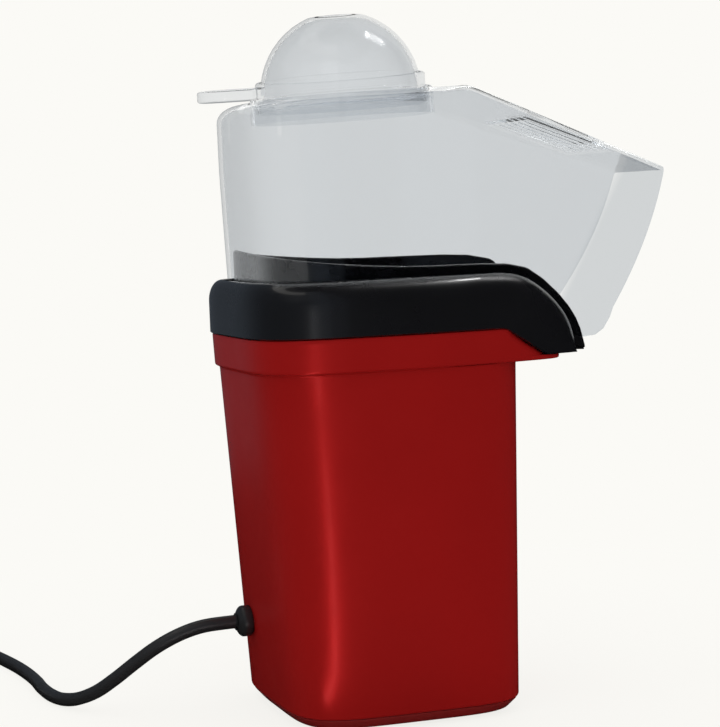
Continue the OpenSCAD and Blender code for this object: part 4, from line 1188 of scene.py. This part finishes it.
class PopcornShape(bpy.types.PropertyGroup):
    """Sizes of the dressed pieces that the construction leaves open"""
    seam_edge: setting("Seam edge", "Rounding of the housing's lower edge",
                       0.0012, 0.0004, 0.003, **LENGTH)
    rim_roll: setting("Rim roll", "Height of the collar's rolled top",
                      0.0095, 0.004, 0.012, **LENGTH)
    vent_slots: IntProperty(name="Vent slots", description="Slots in the bottom cover",
                            default=7, min=3, max=9)
    hood_slots: IntProperty(name="Hood slots", description="Louvre slots in the hood's roof",
                            default=6, min=2, max=7)
    hood_slot_length: setting("Slot length", "Length of a louvre slot",
                              0.039, 0.02, 0.042, **LENGTH)
    cup_wall: setting("Cup wall", "Wall of the measuring cup", 0.0016, 0.0012, 0.002, **LENGTH)


class PopcornFinish(bpy.types.PropertyGroup):
    """Colours and gloss of the finishes, and the level of the light"""
    red: colour_setting("Red", "Colour of the housing", (0.36, 0.0085, 0.008))
    red_rough: setting("Red roughness", "Roughness of the housing", 0.32, 0.05, 0.9, **SHARE)
    red_metal: setting("Red metal", "Share of metal flake in the red", 0.4, 0, 1, **SHARE)
    red_coat: setting("Red gloss", "Clear gloss over the red", 0.03, 0, 1, **SHARE)
    black: colour_setting("Black", "Colour of the collar", (0.004, 0.004, 0.005))
    black_rough: setting("Black roughness", "Roughness of the collar", 0.28, 0.05, 0.9, **SHARE)
    clear: colour_setting("Clear", "Tint of the hood and cup", (0.825, 0.845, 0.87))
    ambient: setting("Room light", "Even light from all round", 1.1, 0, 2)
    key: setting("Key light", "Power of the key light", 3.0, 0, 60, **POWER)
    strip: setting("Strip light", "Power of the narrow strip light", 0.3, 0, 60, **POWER)


# ---- operators, in the order in which main() calls them

class Step:
    """What the operators share: each does its work in build()."""

    def execute(self, context):
        self.build(context.scene)
        return {"FINISHED"}


class POPCORN_OT_camera(Step, bpy.types.Operator):
    """Places the camera"""
    bl_idname = "popcorn.camera"
    bl_label = "Camera"

    def build(self, scene):
        lens = bpy.data.cameras.new("camera")
        lens.lens, lens.sensor_width = CAMERA_LENS, 36
        lens.clip_start, lens.clip_end = 0.05, 30
        camera = put("camera", lens)
        camera.location = CAMERA_AT
        aimed(camera, CAMERA_AIM, CAMERA_ROLL)
        scene.camera = camera
        scene.view_settings.view_transform = "Standard"


class POPCORN_OT_lead(Step, bpy.types.Operator):
    """Builds the mains lead with its gland, plug and tie"""
    bl_idname = "popcorn.lead"
    bl_label = "Mains lead"

    def build(self, scene):
        lead = finish_piece(build_lead(), "housing", "cord_black",
                            "power_cord", "cord_coil", "cord_tail")
        finish_piece(build_gland(), "housing", "cord_black", "strain_relief")
        plug = finish_piece(build_plug(), "housing", "cord_black", "plug_body")
        blades = finish_piece(build_blades(), "housing", "brass", "plug_pins")
        tie = finish_piece(build_tie(), "housing", "white_nylon", "cord_tie")
        run_m = distances(lead_points())[-1]
        if not 0.8 < run_m < 1.5:
            raise RuntimeError(f"the lead came out {run_m:.2f} m long")


class POPCORN_OT_housing(Step, bpy.types.Operator):
    """Builds the red housing, its bottom cover and the feet"""
    bl_idname = "popcorn.housing"
    bl_label = "Housing"

    def build(self, scene):
        shape = scene.popcorn_shape
        finish_piece(build_housing(shape.seam_edge / MM), "housing", "red_shell", "body_shell")
        finish_piece(build_cover(shape.vent_slots), "housing", "dark_red_cover", "bottom_cover")
        finish_piece(build_feet(), "housing", "black_rubber", "rubber_feet")


class POPCORN_OT_collar(Step, bpy.types.Operator):
    """Builds the black collar with its rolled rim, chute and inner fence"""
    bl_idname = "popcorn.collar"
    bl_label = "Chute collar"

    def build(self, scene):
        collar = build_collar(scene.popcorn_shape.rim_roll / MM)
        finish_piece(collar, "housing", "black_collar", "collar")


class POPCORN_OT_hood(Step, bpy.types.Operator):
    """Builds the clear hood with the slots in its roof"""
    bl_idname = "popcorn.hood"
    bl_label = "Hood"

    def build(self, scene):
        shape = scene.popcorn_shape
        hood = build_hood(shape.hood_slots, shape.hood_slot_length / MM)
        finish_piece(hood, "hood", "clear_hood", "hood")


class POPCORN_OT_cup(Step, bpy.types.Operator):
    """Builds the clear measuring cup that closes the hood"""
    bl_idname = "popcorn.cup"
    bl_label = "Measuring cup"

    def build(self, scene):
        cup = build_cup(scene.popcorn_shape.cup_wall / MM)
        finish_piece(cup, "cup", "clear_cup", "measuring_cup")


class POPCORN_OT_works(Step, bpy.types.Operator):
    """Finishes the pieces inside the housing, the switch and the screws"""
    bl_idname = "popcorn.works"
    bl_label = "Works"

    def build(self, scene):
        carry()


class POPCORN_OT_stage(Step, bpy.types.Operator):
    """Lays the floor and sets the lights"""
    bl_idname = "popcorn.stage"
    bl_label = "Stage"

    def build(self, scene):
        f = scene.popcorn_finish
        build_world(f.ambient)
        build_floor(shadow=0.14)
        softbox("key", (-1.5, 1.1, 1.5), (0, 0, 0.15), (0.9, 0.9), f.key)
        softbox("strip", (-1.62, 0.33, 0.03), (0, 0.03, 0.03), (0.16, 0.05), f.strip)
        flags([(100, 200, 2.2, 0.004), (200, 252, 0.3, 0.004), (252, 428, 1.2, 0.095),
               (68, 75, 2.2, 0.1), (75, 92, 2.2, 0.2), (92, 100, 2.2, 0.1)])
        ceiling = raised(circle(FLAG_R, (0, STAGE_Y), 36), CEILING_Z)
        card("ceiling", ceiling, [tuple(range(len(ceiling)))], DARK, through=True)
        # the housing mirrors a bright wedge on the floor, which carries the strip's streak down
        at = [(-0.06 - r * sin(radians(a)), y + r * cos(radians(a)), 0.0008)
              for r, a, y in ((0.01, 77, 0.098), (0.68, 77, 0.062), (0.68, 81.5, 0.062),
                              (0.01, 81.5, 0.089))]
        card("streak_card", at, [(0, 1, 2, 3)], (1, 0.93, 0.95), 7.0)
        # the collar's rolled top mirrors a long card overhead
        card("over_card", [(-0.06, -1.3, 1.6), (0.14, -1.3, 1.6), (0.14, -0.62, 1.6),
                           (-0.06, -0.62, 1.6)], [(0, 1, 2, 3)], (1, 1, 1), 32.0, True)


class POPCORN_PT_panel(bpy.types.Panel):
    """Sizes, finishes and the steps that build the popcorn maker"""
    bl_idname = "POPCORN_PT_panel"
    bl_label = "Popcorn maker"
    bl_space_type = "VIEW_3D"
    bl_region_type = "UI"
    bl_category = "Popcorn maker"

    def draw(self, context):
        column = self.layout.column()
        for group in (context.scene.popcorn_shape, context.scene.popcorn_finish):
            for name in group.__annotations__:
                column.prop(group, name)
        for step in STEPS:
            column.operator(step.bl_idname)


STEPS = (POPCORN_OT_camera, POPCORN_OT_lead, POPCORN_OT_housing, POPCORN_OT_collar,
         POPCORN_OT_hood, POPCORN_OT_cup, POPCORN_OT_works, POPCORN_OT_stage)
CLASSES = (PopcornShape, PopcornFinish, *STEPS, POPCORN_PT_panel)


def register():
    for cls in CLASSES:
        bpy.utils.register_class(cls)
    bpy.types.Scene.popcorn_shape = PointerProperty(type=PopcornShape)
    bpy.types.Scene.popcorn_finish = PointerProperty(type=PopcornFinish)


def unregister():
    del bpy.types.Scene.popcorn_finish
    del bpy.types.Scene.popcorn_shape
    for cls in reversed(CLASSES):
        bpy.utils.unregister_class(cls)


def main():
    register()
    for step in STEPS:
        group, name = step.bl_idname.split(".")
        getattr(getattr(bpy.ops, group), name)()
    bpy.context.view_layer.update()


if __name__ == "__main__":
    main()
